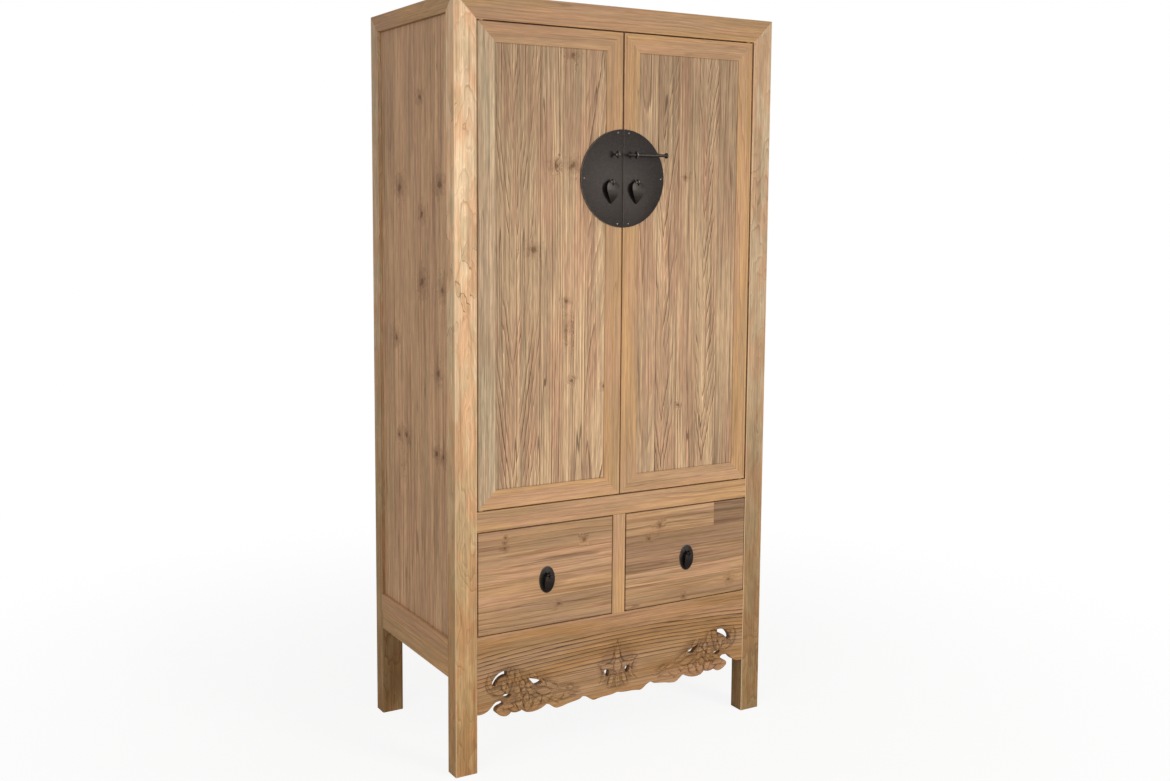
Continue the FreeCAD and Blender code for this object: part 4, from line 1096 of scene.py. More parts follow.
class CUPBOARD_OT_stage(bpy.types.Operator):
    """Makes the floor, the lamps, the white background and the camera"""

    bl_idname = "cupboard.stage"
    bl_label = "Stage"

    def execute(self, context):
        stage = context.scene.cupboard_stage
        context.scene.view_settings.view_transform = "Standard"
        self.floor(context, stage)
        self.room(context, stage)
        for name, place, target, power, width in (
            ("key", (1.7, -4.6, 1.45), (0.0, 0.0, 1.0), stage.key, 1.5),
            ("fill", (-3.4, -2.2, 2.4), (0.0, 0.0, 1.1), stage.fill, 2.4),
        ):
            self.lamp(context, name, Vector(place), Vector(target), power, width)
        self.camera(context)
        return {"FINISHED"}

    def floor(self, context, stage):
        mesh = bpy.data.meshes.new("floor")
        reach = 14.0
        corners = ((-1, -1), (1, -1), (1, 1), (-1, 1))
        mesh.from_pydata([(x * reach, y * reach, 0) for x, y in corners], [], [(0, 1, 2, 3)])
        # A smooth matt paint, so bright under studio light that only the shadow on it shows.
        material, tree = new_material("painted_studio_floor")
        paint = add(tree, "ShaderNodeBsdfDiffuse", (stage.floor, 0.6))
        white = add(tree, "ShaderNodeEmission", (WHITE, 1.0))
        seen = add(tree, "ShaderNodeLightPath").node.outputs["Is Camera Ray"]
        spot = add(tree, "ShaderNodeTexCoord").node.outputs["Object"]
        away = add(tree, "ShaderNodeVectorMath", (spot,), operation="LENGTH")
        still_shaded = 0.6
        limits = (away, still_shaded, stage.white_reach, 1.0 - stage.shadow, 1.0)
        bright = add(tree, "ShaderNodeMapRange", limits, **SMOOTH)
        part = add(tree, "ShaderNodeMath", (seen, bright), operation="MULTIPLY")
        both = add(tree, "ShaderNodeMixShader", (part, paint, white))
        add(tree, "ShaderNodeOutputMaterial", {"Surface": both})
        mesh.materials.append(material)
        floor = bpy.data.objects.new("floor", mesh)
        context.scene.collection.objects.link(floor)

    def room(self, context, stage):
        world = bpy.data.worlds.new("studio")
        context.scene.world = world
        world.use_nodes = True
        tree = world.node_tree
        tree.nodes.clear()
        path = add(tree, "ShaderNodeLightPath").node.outputs
        seen = path["Is Camera Ray"]
        for kind in ("Is Glossy Ray", "Is Transmission Ray"):
            seen = add(tree, "ShaderNodeMath", (seen, path[kind]), operation="MAXIMUM")
        level = add(tree, "ShaderNodeMapRange", (seen, 0.0, 1.0, stage.room, 1.0))
        light = add(tree, "ShaderNodeBackground", (WHITE, level))
        add(tree, "ShaderNodeOutputWorld", {"Surface": light})

    def lamp(self, context, name, place, target, power, width):
        data = bpy.data.lights.new(name, "AREA")
        data.shape = "SQUARE"
        data.size = width
        data.energy = power
        lamp = bpy.data.objects.new(name, data)
        lamp.location = place
        lamp.rotation_euler = (place - target).to_track_quat("Z", "Y").to_euler()
        context.scene.collection.objects.link(lamp)

    def camera(self, context):
        """The photograph's own view: turned about Z from straight ahead, tipped and leaned, with
        its focal length and middle row in the photograph's pixels."""
        place = (-1.8581, -3.2135, 1.4881)
        yaw, pitch, roll = 0.5335, -0.105, 0.0072
        focal_pixels, centre_row, film = 1300.55, 340.0, 36.0
        data = bpy.data.cameras.new("photograph")
        data.sensor_width = film
        data.lens = focal_pixels * film / IMAGE_WIDTH
        data.shift_y = (centre_row - IMAGE_HEIGHT / 2) / IMAGE_WIDTH
        level = math.cos(pitch)
        forward = Vector((math.sin(yaw) * level, math.cos(yaw) * level, math.sin(pitch)))
        flat = Vector((math.cos(yaw), -math.sin(yaw), 0.0))
        up = flat.cross(forward)
        right = flat * math.cos(roll) + up * math.sin(roll)
        up = -flat * math.sin(roll) + up * math.cos(roll)
        turn = Matrix((right, up, -forward)).transposed()
        camera = bpy.data.objects.new("photograph", data)
        camera.matrix_world = Matrix.Translation(place) @ turn.to_4x4()
        context.scene.collection.objects.link(camera)
        context.scene.camera = camera


class CUPBOARD_OT_posts(bpy.types.Operator):
    """Makes the four square posts, which run down as feet"""

    bl_idname = "cupboard.posts"
    bl_label = "Posts"

    def execute(self, context):
        for node, lightness in (
            ("front_left_post", 0.9),
            ("front_right_post", 0.33),
            ("back_left_post", 0.55),
            ("back_right_post", 0.4),
        ):
            plank = [(10, 40, 0.1, lightness, 0.0, None)]
            dress(node, Z, Y, "brushed_elm_posts", "elm_frame", plank)
        return {"FINISHED"}


class CUPBOARD_OT_rails(bpy.types.Operator):
    """Makes the rails between the posts and the stile between the drawers"""

    bl_idname = "cupboard.rails"
    bl_label = "Rails"

    side_parts = ("top_rail", "bottom_rail", "side_apron")

    def execute(self, context):
        plank = [(40, 30, 0.01, 0.6, 0.0, None)]
        dress("front_top_rail", X, Y, "brushed_elm_rails", "elm_frame", plank)
        for nodes, along, through in (
            (("back_top_rail", "middle_rail", "back_bottom_rail"), X, Y),
            ([f"{side}_{part}" for part in self.side_parts for side in SIDES], Y, X),
            (("centre_stile",), Z, Y),
        ):
            for node in nodes:
                dress(node, along, through, "brushed_elm_rails", "elm_frame")
        for node in ("back_middle_rail", "inner_bottom_rail"):
            dress(node, X, Y, "sawn_inner_elm", "inner_wood")
        return {"FINISHED"}


class CUPBOARD_OT_panels(bpy.types.Operator):
    """Makes the boards of the sides, the top and the back"""

    bl_idname = "cupboard.panels"
    bl_label = "Side, top and back boards"

    # What the posts and rails leave open of a side. The boards are painted darker along its edge,
    # as shade.
    open_part = ((Y, -211.1 * MM, 242.9 * MM), (Z, 356 * MM, 1955 * MM))

    def execute(self, context):
        looks = ("brushed_elm_sides", "elm_boards")
        for side in SIDES:
            boards(f"{side}_side_boards", 5, Z, X, *looks, open_part=self.open_part)
        boards("top_boards", 3, X, Z, *looks)
        boards("back_boards", 6, Z, Y, "sawn_inner_elm", "inner_wood")
        return {"FINISHED"}


class CUPBOARD_OT_inside(bpy.types.Operator):
    """Makes the cupboard's floor, the shelf on its cleats and the drawers' runners"""

    bl_idname = "cupboard.inside"
    bl_label = "Inside"

    def execute(self, context):
        for node, along, through in (
            ("cupboard_floor", X, Z),
            ("shelf", X, Z),
            ("shelf_cleats", Y, X),
            ("drawer_runners", Y, Z),
        ):
            dress(node, along, through, "sawn_inner_elm", "inner_wood")
        return {"FINISHED"}


def inside_of(points, segments):
    """Which points (mm) lie inside the closed outlines that the segments draw."""
    ax, az = segments[:, 0], segments[:, 1]
    bx, bz = segments[:, 2], segments[:, 3]
    slope = (bx - ax) / np.where(bz == az, 1e-12, bz - az)
    result = np.zeros(len(points), bool)
    for start in range(0, len(points), 4000):
        x = points[start : start + 4000, 0:1]
        z = points[start : start + 4000, 1:2]
        crossed = ((az > z) != (bz > z)) & (x < ax + (z - az) * slope)
        result[start : start + 4000] = crossed.sum(1) % 2 == 1
    return result


def reach_from(points, segments):
    """How far each point (mm) lies from the nearest of the segments."""
    ends = segments[:, :2]
    runs = segments[:, 2:] - ends
    square = np.maximum((runs**2).sum(1), 1e-12)
    nearest = np.full(len(points), 1e9)
    for start in range(0, len(points), 2000):
        part = points[start : start + 2000]
        away = part[:, None, :] - ends[None]
        along = np.clip((away * runs[None]).sum(2) / square, 0, 1)
        off = away - along[..., None] * runs[None]
        nearest[start : start + 2000] = np.sqrt((off**2).sum(2)).min(1)
    return nearest


def drawn_line(points, closed=False):
    points = np.array(points, float)
    after = np.roll(points, -1, axis=0)
    segments = np.hstack([points, after])
    return segments if closed else segments[:-1]


def oval(x, z, wide, tall, turn=0.0, steps=20):
    """An ellipse's outline in mm, turned by so many degrees."""
    turn = math.radians(turn)
    cos, sin = math.cos(turn), math.sin(turn)
    points = []
    for step in range(steps):
        angle = math.tau * step / steps
        u, v = wide * math.cos(angle), tall * math.sin(angle)
        points.append((x + u * cos - v * sin, z + u * sin + v * cos))
    return drawn_line(points, closed=True)


class CUPBOARD_OT_apron(bpy.types.Operator):
    """Makes the pierced apron and carves its front"""

    bl_idname = "cupboard.apron"
    bl_label = "Carved apron"

    # The carver's work in mm (across from the middle, height). Leaves and petals stand domed on
    # a ground that is cut back: centre, half length, half width and turn in degrees, the upper
    # ones last. The flower sprays are alike on both sides; the bird-like star is in the middle.
    spray_leaves = (
        (152, 178, 22, 6, 16),
        (182, 186, 28, 7, 22),
        (216, 199, 32, 9, 26),
        (246, 213, 26, 10, 32),
        (166, 160, 26, 8, -8),
        (196, 158, 30, 10, -20),
        (226, 164, 28, 11, -34),
        (232, 184, 26, 9, 10),
        (254, 158, 24, 11, -52),
        (280, 160, 22, 12, -76),
        (306, 162, 20, 11, -104),
        (326, 158, 22, 9, -138),
        (348, 166, 28, 9, -168),
        (338, 180, 16, 6, -20),
        (264, 232, 22, 8, 52),
        (312, 238, 24, 10, 84),
        (332, 240, 26, 10, 106),
        (348, 214, 22, 9, 66),
        (394, 236, 20, 8, 78),
        (370, 206, 20, 8, 12),
    )
    star_leaves = (
        (0, 256, 36, 10, 90),
        (-36, 216, 34, 9, -14),
        (36, 216, 34, 9, 14),
        (-44, 188, 24, 8, 58),
        (44, 188, 24, 8, 122),
        (-22, 174, 22, 7, 74),
        (22, 174, 22, 7, 106),
        (0, 170, 22, 8, 90),
        (0, 212, 22, 12, 90),
    )
    # Cuts over them: each line's width and depth, and its points, across and up in turn.
    spray_cuts = (
        (6, 3.5, (398, 258, 405, 244, 406, 228, 400, 212, 388, 202, 374, 198)),
        (6, 4.5, (352, 258, 343, 247, 338, 234, 344, 219, 350, 206, 346, 192)),
        (4, 2.0, (372, 228, 362, 220, 356, 208)),
        (4, 1.8, (384, 222, 374, 212, 366, 203)),
        (5, 3.5, (331, 236, 327, 222, 331, 208, 337, 197)),
        (5, 3.2, (376, 182, 364, 174, 350, 168, 334, 166, 318, 170, 308, 178)),
        (4, 2.2, (362, 171, 354, 158, 352, 150)),
        (4, 2.2, (344, 167, 338, 154, 330, 147)),
        (4, 2.2, (326, 168, 320, 156, 312, 148)),
        (5, 3.0, (308, 180, 298, 168, 292, 152)),
        (4, 2.6, (290, 176, 280, 162, 270, 150)),
        (5, 3.0, (272, 182, 258, 170, 244, 158, 232, 152)),
        (5, 3.0, (254, 184, 238, 172, 222, 164, 204, 152, 188, 144)),
        (4, 2.0, (236, 160, 228, 152)),
        (4, 2.0, (212, 166, 196, 158, 176, 150)),
        (5, 3.6, (316, 236, 306, 226, 300, 212, 302, 196)),
        (4, 3.0, (300, 234, 290, 222, 286, 208, 288, 196)),
        (4, 3.0, (284, 232, 276, 216, 274, 204, 266, 194)),
        (4, 3.2, (274, 236, 250, 224, 226, 212, 204, 200, 184, 190, 164, 181, 146, 176)),
        (4, 2.4, (262, 206, 250, 198, 238, 196)),
        (4, 2.6, (158, 186, 150, 188, 142, 184, 141, 176, 148, 171, 156, 172)),
        (4, 2.6, (146, 170, 136, 164, 124, 162, 112, 166)),
        (4, 2.2, (160, 166, 148, 158, 134, 154)),
    )
    star_cuts = (
        (6, 4.5, (-1, 288, 4, 266, 9, 248, 13, 234, 20, 224, 34, 219, 50, 220, 64, 230)),
        (5, 3.6, (-1, 288, -6, 262, -11, 246, -16, 232, -22, 226, -38, 223, -54, 220, -66, 229)),
        (5, 4.0, (64, 230, 54, 218, 48, 204, 47, 190, 52, 178, 62, 168)),
        (5, 3.4, (-66, 229, -56, 217, -50, 205, -46, 196, -52, 182, -60, 172)),
        (5, 3.4, (38, 214, 36, 202, 34, 192)),
        (4, 2.4, (28, 216, 30, 204, 31, 194)),
        (5, 3.0, (-41, 196, -36, 190, -28, 188, -16, 192, -6, 188, 0, 182, 10, 188, 24, 190)),
        (4, 2.4, (-30, 208, -22, 206, -12, 198)),
        (4, 2.4, (0, 182, 1, 170, 0, 156)),
        (4, 2.0, (-26, 186, -30, 172, -34, 160)),
        (4, 2.0, (26, 188, 30, 172, 33, 160)),
        (3, 1.4, (-14, 250, -4, 252, 8, 250)),
    )
    # Small round cuts: centre, half sizes, turn in degrees, width and depth.
    ovals = (
        (326, 251, 11, 10, 0, 4, 3.0),
        (328, 250, 4, 4, 0, 3, 1.8),
        (338, 264, 6, 6, 0, 3, 1.8),
        (296, 188, 7, 7, 0, 4, 3.2),
    )
    # The flower's petals: its middle, their distance from it, half sizes, number and turn.
    petals = (292, 196, 18, 15, 9, 6, 15)
    # How much of their depth the lines keep where leaves stand under them.
    cut_share = 0.6
    # How far a leaf stands up through the cut ground, and how deep its vein and its edge go.
    rise, vein_depth, edge_depth = 0.92, 0.8, 1.15
    # The net's closest points stand this far (mm) from the apron's rim.
    rim_room = 0.9
    # The reach of the spray and of the star, across and up, in mm.
    spray_part = (100, 410, 272)
    star_part = (74, 294)
    # The worn rim fades out over this height (mm) under the drawers, and the carving is
    # darkest where it is this deep.
    rim_fade, darkest = 30, 5.0
    # Where the ground is cut back round the carving: centre and half sizes in mm, and depth.
    grounds = (
        (286, 190, 104, 64, 3.2),
        (346, 230, 68, 48, 3.2),
        (180, 170, 66, 30, 2.4),
        (0, 212, 70, 78, 3.0),
    )

    def execute(self, context):
        shape = copy_of("carved_apron")
        self.refine(shape, context.scene.cupboard_wood)
        self.carve(shape, context.scene.cupboard_wood)
        name = "carved_apron_dressed"
        mesh = to_mesh(shape, name)
        grow(mesh, X, Y, [(-330, 12, 0.0, 0.72, 0.1, 0.37)])
        settle(name, mesh, "brushed_elm_apron", "elm_apron", "carved_apron")
        return {"FINISHED"}

    def refine(self, shape, wood):
        """Gives the front face a close net of points, closest where the carving is."""
        front = min(vertex.co.y for vertex in shape.verts)
        faces = [
            face
            for face in shape.faces
            if face.normal.y < -0.99 and abs(face.verts[0].co.y - front) < TOUCH
        ]
        chosen = set(faces)
        edges = [
            edge
            for edge in {edge for face in faces for edge in face.edges}
            if sum(face in chosen for face in edge.link_faces) == 1
        ]
        rim = list({vertex for edge in edges for vertex in edge.verts})
        number = {vertex: index for index, vertex in enumerate(rim)}
        bmesh.ops.delete(shape, geom=faces, context="FACES_ONLY")
        flat = np.array([(v.co.x, v.co.z) for v in rim]) / MM
        pairs = [(number[edge.verts[0]], number[edge.verts[1]]) for edge in edges]
        self.rim = np.array([(*flat[a], *flat[b]) for a, b in pairs])
        low, high = flat.min(0), flat.max(0)
        nets = []
        for step, fine in ((wood.carving_step / MM, True), (wood.plain_step / MM, False)):
            across, up = np.meshgrid(
                np.arange(low[0] + step / 2, high[0], step),
                np.arange(low[1] + step / 2, high[1], step),
            )
            across = across + (np.arange(len(across)) % 2 * step / 2)[:, None]
            net = np.stack([across.ravel(), up.ravel()], 1)
            nets.append(net[self.is_carved(net) == fine])
        net = np.vstack(nets)
        net = net[inside_of(net, self.rim)]
        net = net[reach_from(net, self.rim) > self.rim_room]
        points = np.vstack([flat, net])
        verts, _, triangles, origins, _, _ = delaunay_2d_cdt(
            [Vector(point) for point in points], pairs, [], 0, 1e-5
        )
        places = np.array([tuple(v) for v in verts])
        centres = places[np.array(triangles)].mean(1)
        kept = inside_of(centres, self.rim)
        made = []
        for (x, z), origin in zip(places, origins):
            known = [rim[index] for index in origin if index < len(rim)]
            made.append(known[0] if known else shape.verts.new((x * MM, front, z * MM)))
        for triangle, keep in zip(triangles, kept):
            corners = [made[index] for index in triangle]
            if keep and len(set(corners)) == 3:
                shape.faces.new(corners)
        loose = [vertex for vertex in shape.verts if not vertex.link_faces]
        bmesh.ops.delete(shape, geom=loose, context="VERTS")
        bmesh.ops.recalc_face_normals(shape, faces=shape.faces[:])

    def is_carved(self, points):
        across, up = np.abs(points[:, 0]), points[:, 1]
        near, far, head = self.spray_part
        wide, top = self.star_part
        return (across > near) & (across < far) & (up < head) | (across < wide) & (up < top)

    def depths(self, points):
        """How deep the carver went at each point of the front, in mm."""
        mirrored = np.stack([np.abs(points[:, 0]), points[:, 1]], 1)
        ground = np.zeros(len(points))
        for x, z, wide, tall, depth in self.grounds:
            reach = np.sqrt(((mirrored[:, 0] - x) / wide) ** 2 + ((points[:, 1] - z) / tall) ** 2)
            ground = np.maximum(ground, depth * np.clip((1.0 - reach) * 4.0, 0, 1))
        deep = ground.copy()

        def leaf(where, x, z, long, wide, turn, pointed=True):
            turn = math.radians(turn)
            off = where - (x, z)
            along = (off[:, 0] * math.cos(turn) + off[:, 1] * math.sin(turn)) / long
            across = (off[:, 1] * math.cos(turn) - off[:, 0] * math.sin(turn)) / wide
            taper = np.clip(1.0 - along**2, 0.0, 1.0)
            if pointed:
                reach = np.abs(across) / np.maximum(taper, 0.02)
            else:
                reach = np.sqrt(along**2 + across**2)
            dome = np.sqrt(np.clip(1.0 - reach**2, 0, 1)) * np.sqrt(taper)
            vein = np.clip(1.0 - np.abs(across) / 0.2, 0, 1) * (np.abs(along) < 0.75)
            body = (reach < 1.0) & (taper > 0)
            deep[body] = (ground * (1.0 - self.rise * dome) + self.vein_depth * vein)[body]
            rim = (reach >= 1.0) & (reach < 1.3) & (taper > 0)
            deep[rim] = np.maximum(deep, ground * self.edge_depth)[rim]

        for where, leaves in ((mirrored, self.spray_leaves), (points, self.star_leaves)):
            for shape in leaves:
                leaf(where, *shape)
        x, z, ring, long, wide, count, start = self.petals
        for index in range(count):
            turn = 360 * index / count + start
            angle = math.radians(turn)
            middle = (x + ring * math.cos(angle), z + ring * math.sin(angle))
            leaf(mirrored, *middle, long, wide, turn, pointed=False)
        leaf(mirrored, x, z, wide, wide, 0, pointed=False)
        cuts = np.zeros(len(points))

        def cut(where, segments, width, depth):
            low = segments.reshape(-1, 2).min(0) - width
            high = segments.reshape(-1, 2).max(0) + width
            near = ((where > low) & (where < high)).all(1)
            if near.any():
                reach = reach_from(where[near], segments) / (width / 2)
                groove = depth * np.clip(1.0 - reach, 0, 1) ** 0.8
                cuts[near] = np.maximum(cuts[near], groove)

        for where, lines in ((mirrored, self.spray_cuts), (points, self.star_cuts)):
            for width, depth, line in lines:
                cut(where, drawn_line(np.reshape(line, (-1, 2))), width, depth)
        for x, z, wide, tall, turn, width, depth in self.ovals:
            cut(mirrored, oval(x, z, wide, tall, turn), width, depth)
        return deep + cuts * self.cut_share

    def carve(self, shape, wood):
        """Presses the front in by the carving, and lets its worn rim fall back."""
        grime = shape.verts.layers.float.new("grime")
        front = min(vertex.co.y for vertex in shape.verts)
        pressed = [vertex for vertex in shape.verts if abs(vertex.co.y - front) < TOUCH]
        points = np.array([(v.co.x, v.co.z) for v in pressed]) / MM
        deep = self.depths(points)
        top = points[:, 1].max()
        lower = np.clip((top - points[:, 1]) / self.rim_fade, 0, 1)
        reach = np.clip(reach_from(points, self.rim) / (wood.rim_reach / MM), 0, 1)
        fall = (1 - np.sqrt(1 - (1 - reach) ** 2)) * wood.rim_fall / MM * lower
        for vertex, cut, rounded in zip(pressed, deep, fall):
            vertex.co.y += (cut + rounded) * MM
            # The carving is drawn darker the deeper it is cut.
            vertex[grime] = min(1.0, (cut / self.darkest) ** 1.5)


class CUPBOARD_OT_doors(bpy.types.Operator):
    """Makes each door's mitred frame, its boards and its battens"""

    bl_idname = "cupboard.doors"
    bl_label = "Doors"

    # Each board: the heart's place (mm across, mm deep), lean, lightness, bend, seed and pointed
    # share. The outermost two boards of the left door are cut from one plank.
    planks = {
        "left": [
            (21, 300, -0.11, 0.68, 0.0, 0.31, 1.0),
            (-47, 300, -0.11, 0.72, 0.0, 0.31, 1.0),
            (-80, 30, 0.02, 0.72, 0.02, 0.62, 0.0),
            (90, 34, 0.01, 0.76, 0.0, 0.13, 0.0),
            (70, 300, 0.09, 0.74, 0.0, 0.87, 0.6),
        ],
        "right": [
            (20, 60, -0.05, 0.64, 0.1, 0.44, 0.0),
            (-12, 300, -0.12, 0.6, 0.0, 0.29, 1.0),
            (70, 50, -0.02, 0.62, 0.0, 0.71, 0.0),
            (-10, 300, -0.13, 0.61, 0.0, 0.52, 1.0),
            (60, 50, 0.03, 0.55, 0.0, 0.09, 0.0),
        ],
    }
    dark_joints = {"left": (2,), "right": ()}

    def execute(self, context):
        for side in SIDES:
            stile = "weathered_elm" if side == "left" else "brushed_elm_rails"
            for part, along, material in (
                ("outer_stile", Z, stile),
                ("meeting_stile", Z, "brushed_elm_rails"),
                ("top_rail", X, "brushed_elm_rails"),
                ("bottom_rail", X, "brushed_elm_rails"),
            ):
                dress(f"{side}_door_{part}", along, Y, material, "elm_frame", gaps=0.95)
            stiles = [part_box(f"{side}_door_{part}_stile") for part in ("outer", "meeting")]
            stiles.sort(key=lambda box: box[0].x)
            rails = [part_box(f"{side}_door_{part}_rail") for part in ("bottom", "top")]
            pairs = ((X, stiles), (Z, rails))
            # What the frame leaves open: the boards are painted darker along its edge, as shade.
            open_part = [(axis, low[1][axis], high[0][axis]) for axis, (low, high) in pairs]
            looks = ("brushed_elm_boards", "elm_boards", self.planks[side], open_part)
            boards(f"{side}_door_boards", 5, Z, Y, *looks, self.dark_joints[side])
            dress(f"{side}_door_battens", X, Y, "sawn_inner_elm", "inner_wood")
        return {"FINISHED"}


class CUPBOARD_OT_drawers(bpy.types.Operator):
    """Makes each drawer's front, sides, back and bottom"""

    bl_idname = "cupboard.drawers"
    bl_label = "Drawers"

    # The fronts are glued up from old pieces: (low, high, start, end) in mm from the front's
    # middle, and each piece's heart, lean, lightness, bend and seed.
    blocks = {
        "left": [
            (75, 140, -210, 210, (30, 30, 0.01, 0.5, 0.1, 0.2)),
            (0, 75, -210, 210, (60, 20, -0.02, 0.86, -0.15, 0.4)),
            (-60, 0, -210, 210, (-20, 34, 0.02, 0.72, 0.1, 0.63)),
            (-140, -60, -210, 210, (40, 26, -0.01, 0.56, -0.05, 0.8)),
        ],
        "right": [
            (70, 140, -210, 94, (40, 26, 0.01, 0.78, 0.05, 0.1)),
            (70, 140, 94, 210, (10, 18, 0.03, 0.1, 0.1, 0.35)),
            (22, 70, -210, 210, (-30, 22, -0.02, 0.26, 0.12, 0.55)),
            (-32, 22, -210, 210, (30, 30, 0.015, 0.36, -0.1, 0.75)),
            (-73, -32, -210, 210, (50, 34, 0.015, 0.82, -0.1, 0.38)),
            (-140, -73, -210, 210, (60, 24, 0.0, 0.5, 0.06, 0.93)),
        ],
    }

    def execute(self, context):
        for side in SIDES:
            looks = ("brushed_elm_drawers", "elm_drawers")
            dress(f"{side}_drawer_front", X, Y, *looks, blocks=self.blocks[side], gaps=0.5)
            for part, along, through in (("sides", Y, X), ("back", X, Y), ("bottom", X, Z)):
                dress(f"{side}_drawer_{part}", along, through, "sawn_inner_elm", "inner_wood")
        return {"FINISHED"}


class CUPBOARD_OT_lock(bpy.types.Operator):
    """Makes the two halves of the lock plate, their nails, the eyes and the lock pin"""

    bl_idname = "cupboard.lock"
    bl_label = "Lock plate"

    # Each eye of a door in mm: its place from the plate's middle across and up, then its reach,
    # its ring's radius and the thickness of its strip.
    eyes = ((29.0, 63.0, 20.0, 7.3, 5.2), (39.5, -8.0, 12.0, 5.2, 3.6))
    nail_places = ((17, 120), (17, -120), (120, 0))
    # How far a nail's middle is sunk, and where the doors' backs are, in mm.
    nail_sink = 0.3
    door_back = -235.05
    arc_steps = 64
    # The pin's outline: its tip from the thin end, and its knob from the thick end, as
    # distances and radii in mm.
    pin_tip = ((0.0, 1.2), (0.5, 2.2), (2.0, 3.1), (3.6, 2.9), (5.0, 2.5), (24.0, 4.0))
    pin_knob = (
        (9.4, 4.0),
        (9.0, 4.6),
        (7.6, 6.6),
        (5.6, 7.5),
        (3.2, 7.5),
        (1.2, 6.0),
        (0.3, 4.2),
        (0.0, 2.0),
    )

    def execute(self, context):
        iron = context.scene.cupboard_iron
        for side, sign in SIGNS.items():
            low, high, middle = millimetres_of(f"{side}_lock_plate")
            seam = min(abs(low.x), abs(high.x))
            radius = (high.z - low.z) / 2
            start = math.asin(seam / radius)
            sweep = (math.pi - 2 * start) / self.arc_steps
            arc = [start + sweep * step for step in range(self.arc_steps + 1)]
            outline = [
                (sign * radius * math.sin(a), middle.z + radius * math.cos(a)) for a in arc
            ]
            mesh = smoothed(to_mesh(prism(outline, low.y, high.y, iron.rim), "plate"))
            node = f"{side}_lock_plate"
            settle(f"{node}_iron", mesh, "blackened_wrought_iron", "dark_iron", node)
            self.nails(side, sign, middle.z, low.y, iron)
            shape = bmesh.new()
            for x, level, *sizes in self.eyes:
                eye_mesh(shape, sign * x, middle.z + level, low.y, self.door_back, *sizes)
            node = f"{side}_door_eyes"
            mesh = smoothed(to_mesh(shape, "eyes"))
            # The eyes take the polished iron, painted paler as highlight.
            settle(f"{node}_iron", mesh, "bright_iron", "dark_iron", node)
        self.pin()
        return {"FINISHED"}

    def nails(self, side, sign, level, surface, iron):
        y = (surface + self.nail_sink) * MM
        places = [(sign * x * MM, y, (level + z) * MM) for x, z in self.nail_places]
        points = bpy.data.meshes.new("nail places")
        points.from_pydata(places, [], [])
        mesh = grown_from(
            grower("Nail heads", NAIL_INPUTS, nail_heads),
            points,
            Radius=iron.nail_radius,
            Height=iron.nail_height,
            # The nail heads are painted pale, as highlight.
            Material=finish("bright_iron"),
        )
        settle(f"{side}_nail_heads", mesh, "bright_iron", "dark_iron", f"{side}_plate_nails")

    def pin(self):
        low, high, middle = millimetres_of("lock_pin")
        size = high.x - low.x
        knob = ((size - from_end, radius) for from_end, radius in self.pin_knob)
        profile = [*self.pin_tip, *knob]
        shape = bmesh.new()
        lathe_mesh(shape, profile, (low.x, middle.y, middle.z))
        mesh = smoothed(to_mesh(shape, "pin"))
        settle("lock_pin_iron", mesh, "hand_rubbed_iron", "dark_iron", "lock_pin")


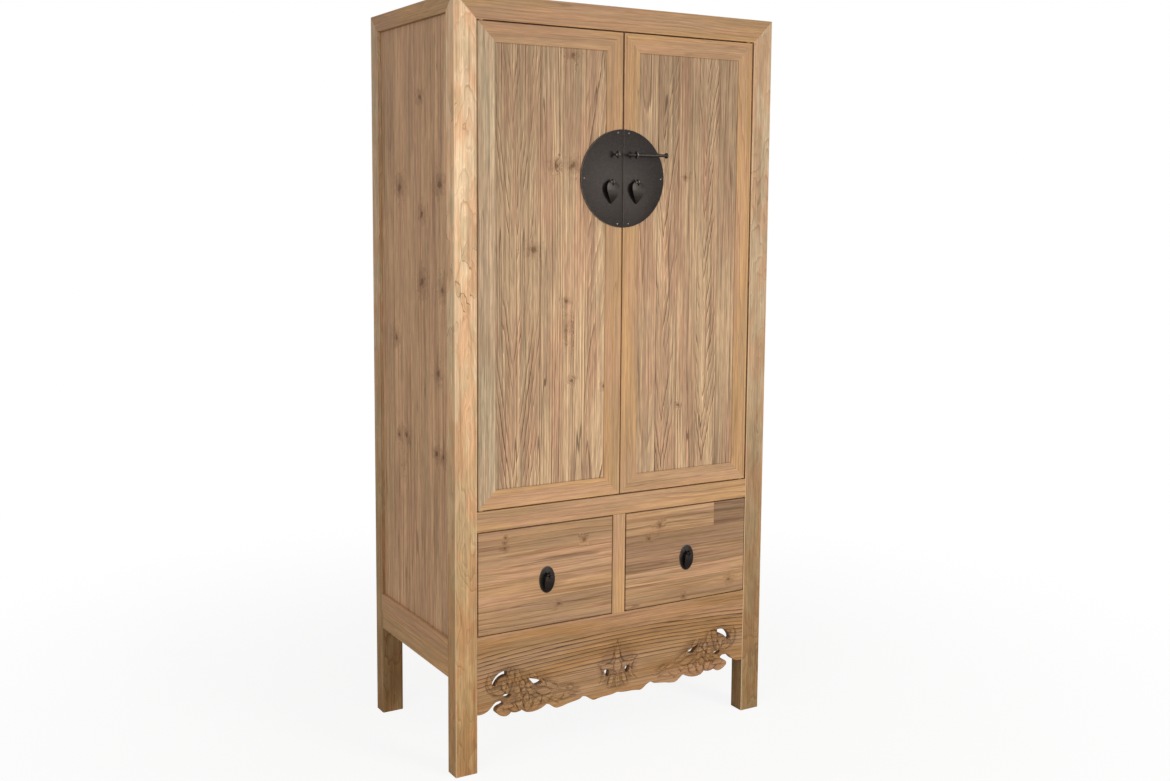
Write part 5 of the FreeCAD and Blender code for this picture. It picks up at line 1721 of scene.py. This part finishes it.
class CUPBOARD_OT_pulls(bpy.types.Operator):
    """Makes the leaf pulls of the doors, and the drawers' plates, eyes and drop pulls"""

    bl_idname = "cupboard.pulls"
    bl_label = "Pulls"

    # A drawer's oval plate: its thickness (mm) and the steps of its outline. Its eye: how far
    # over the middle it sits, then its reach, its ring's radius and its strip's thickness.
    plate_thickness, steps = 2.0, 72
    eye_lift, *eye = 16.0, 12.0, 5.2, 3.6
    # A door's pull gets a painted highlight above this share of its height, most at its left edge.
    shoulder, strongest, steepness = 0.55, 1.3, 1.5
    cuts, cut_from = 8, 0.5

    def execute(self, context):
        iron = context.scene.cupboard_iron
        looks = ("blackened_wrought_iron", "dark_iron")
        for side in SIDES:
            for node in (f"{side}_door_pull", f"{side}_drawer_pull"):
                shape = copy_of(node)
                if node.endswith("door_pull"):
                    self.rub(shape, *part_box(node))
                settle(f"{node}_iron", smoothed(to_mesh(shape, node), 30.0), *looks, node)
            node = f"{side}_drawer_plate"
            low, high, middle = millimetres_of(node)
            wide, tall = (high.x - low.x) / 2, (high.z - low.z) / 2
            front, back, _ = millimetres_of(f"{side}_drawer_front")
            surface = front.y - self.plate_thickness
            angles = [math.tau * step / self.steps for step in range(self.steps)]
            outline = [
                (middle.x + wide * math.cos(a), middle.z + tall * math.sin(a)) for a in angles
            ]
            shape = prism(outline, surface, front.y, iron.rim)
            eye_mesh(shape, middle.x, middle.z + self.eye_lift, surface, back.y, *self.eye)
            settle(f"{node}_iron", smoothed(to_mesh(shape, node)), *looks, node)
        return {"FINISHED"}

    def rub(self, shape, low, high):
        """Paints a highlight on the shoulder by the eye, marked as worn, strongest at its left
        edge.
        """
        size = high - low
        for axis, start in ((Z, self.cut_from), (X, 0.0)):
            for step in range(1, self.cuts):
                part = start + (1.0 - start) * step / self.cuts
                cut_at(shape, axis, low[axis] + part * size[axis])
        worn = shape.verts.layers.float.new("worn")
        for vertex in shape.verts:
            up = (vertex.co.z - low.z) / size.z - self.shoulder
            left = (high.x - vertex.co.x) / size.x
            up = max(0.0, up / (1.0 - self.shoulder))
            vertex[worn] = self.strongest * up * left**self.steepness


OPERATORS = (
    CUPBOARD_OT_stage,
    CUPBOARD_OT_posts,
    CUPBOARD_OT_rails,
    CUPBOARD_OT_panels,
    CUPBOARD_OT_inside,
    CUPBOARD_OT_apron,
    CUPBOARD_OT_doors,
    CUPBOARD_OT_drawers,
    CUPBOARD_OT_lock,
    CUPBOARD_OT_pulls,
)


class CUPBOARD_PT_panel(bpy.types.Panel):
    """Lists the cupboard's settings and the operators that make its pieces"""

    bl_idname = "CUPBOARD_PT_panel"
    bl_label = "Elm cupboard"
    bl_space_type = "VIEW_3D"
    bl_region_type = "UI"
    bl_category = "Cupboard"

    def draw(self, context):
        layout = self.layout
        for operator in OPERATORS:
            layout.operator(operator.bl_idname)
        for settings in (
            context.scene.cupboard_wood,
            context.scene.cupboard_iron,
            context.scene.cupboard_stage,
        ):
            box = layout.box()
            for name in settings.__annotations__:
                box.prop(settings, name)


SETTINGS = (WoodSettings, IronSettings, StageSettings)


def register():
    for item in (*SETTINGS, *OPERATORS, CUPBOARD_PT_panel):
        bpy.utils.register_class(item)
    bpy.types.Scene.cupboard_wood = bpy.props.PointerProperty(type=WoodSettings)
    bpy.types.Scene.cupboard_iron = bpy.props.PointerProperty(type=IronSettings)
    bpy.types.Scene.cupboard_stage = bpy.props.PointerProperty(type=StageSettings)


def unregister():
    del bpy.types.Scene.cupboard_wood
    del bpy.types.Scene.cupboard_iron
    del bpy.types.Scene.cupboard_stage
    for item in reversed((*SETTINGS, *OPERATORS, CUPBOARD_PT_panel)):
        bpy.utils.unregister_class(item)


def main():
    register()
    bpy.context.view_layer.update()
    for operator in OPERATORS:
        group, name = operator.bl_idname.split(".")
        getattr(getattr(bpy.ops, group), name)()


if __name__ == "__main__":
    main()
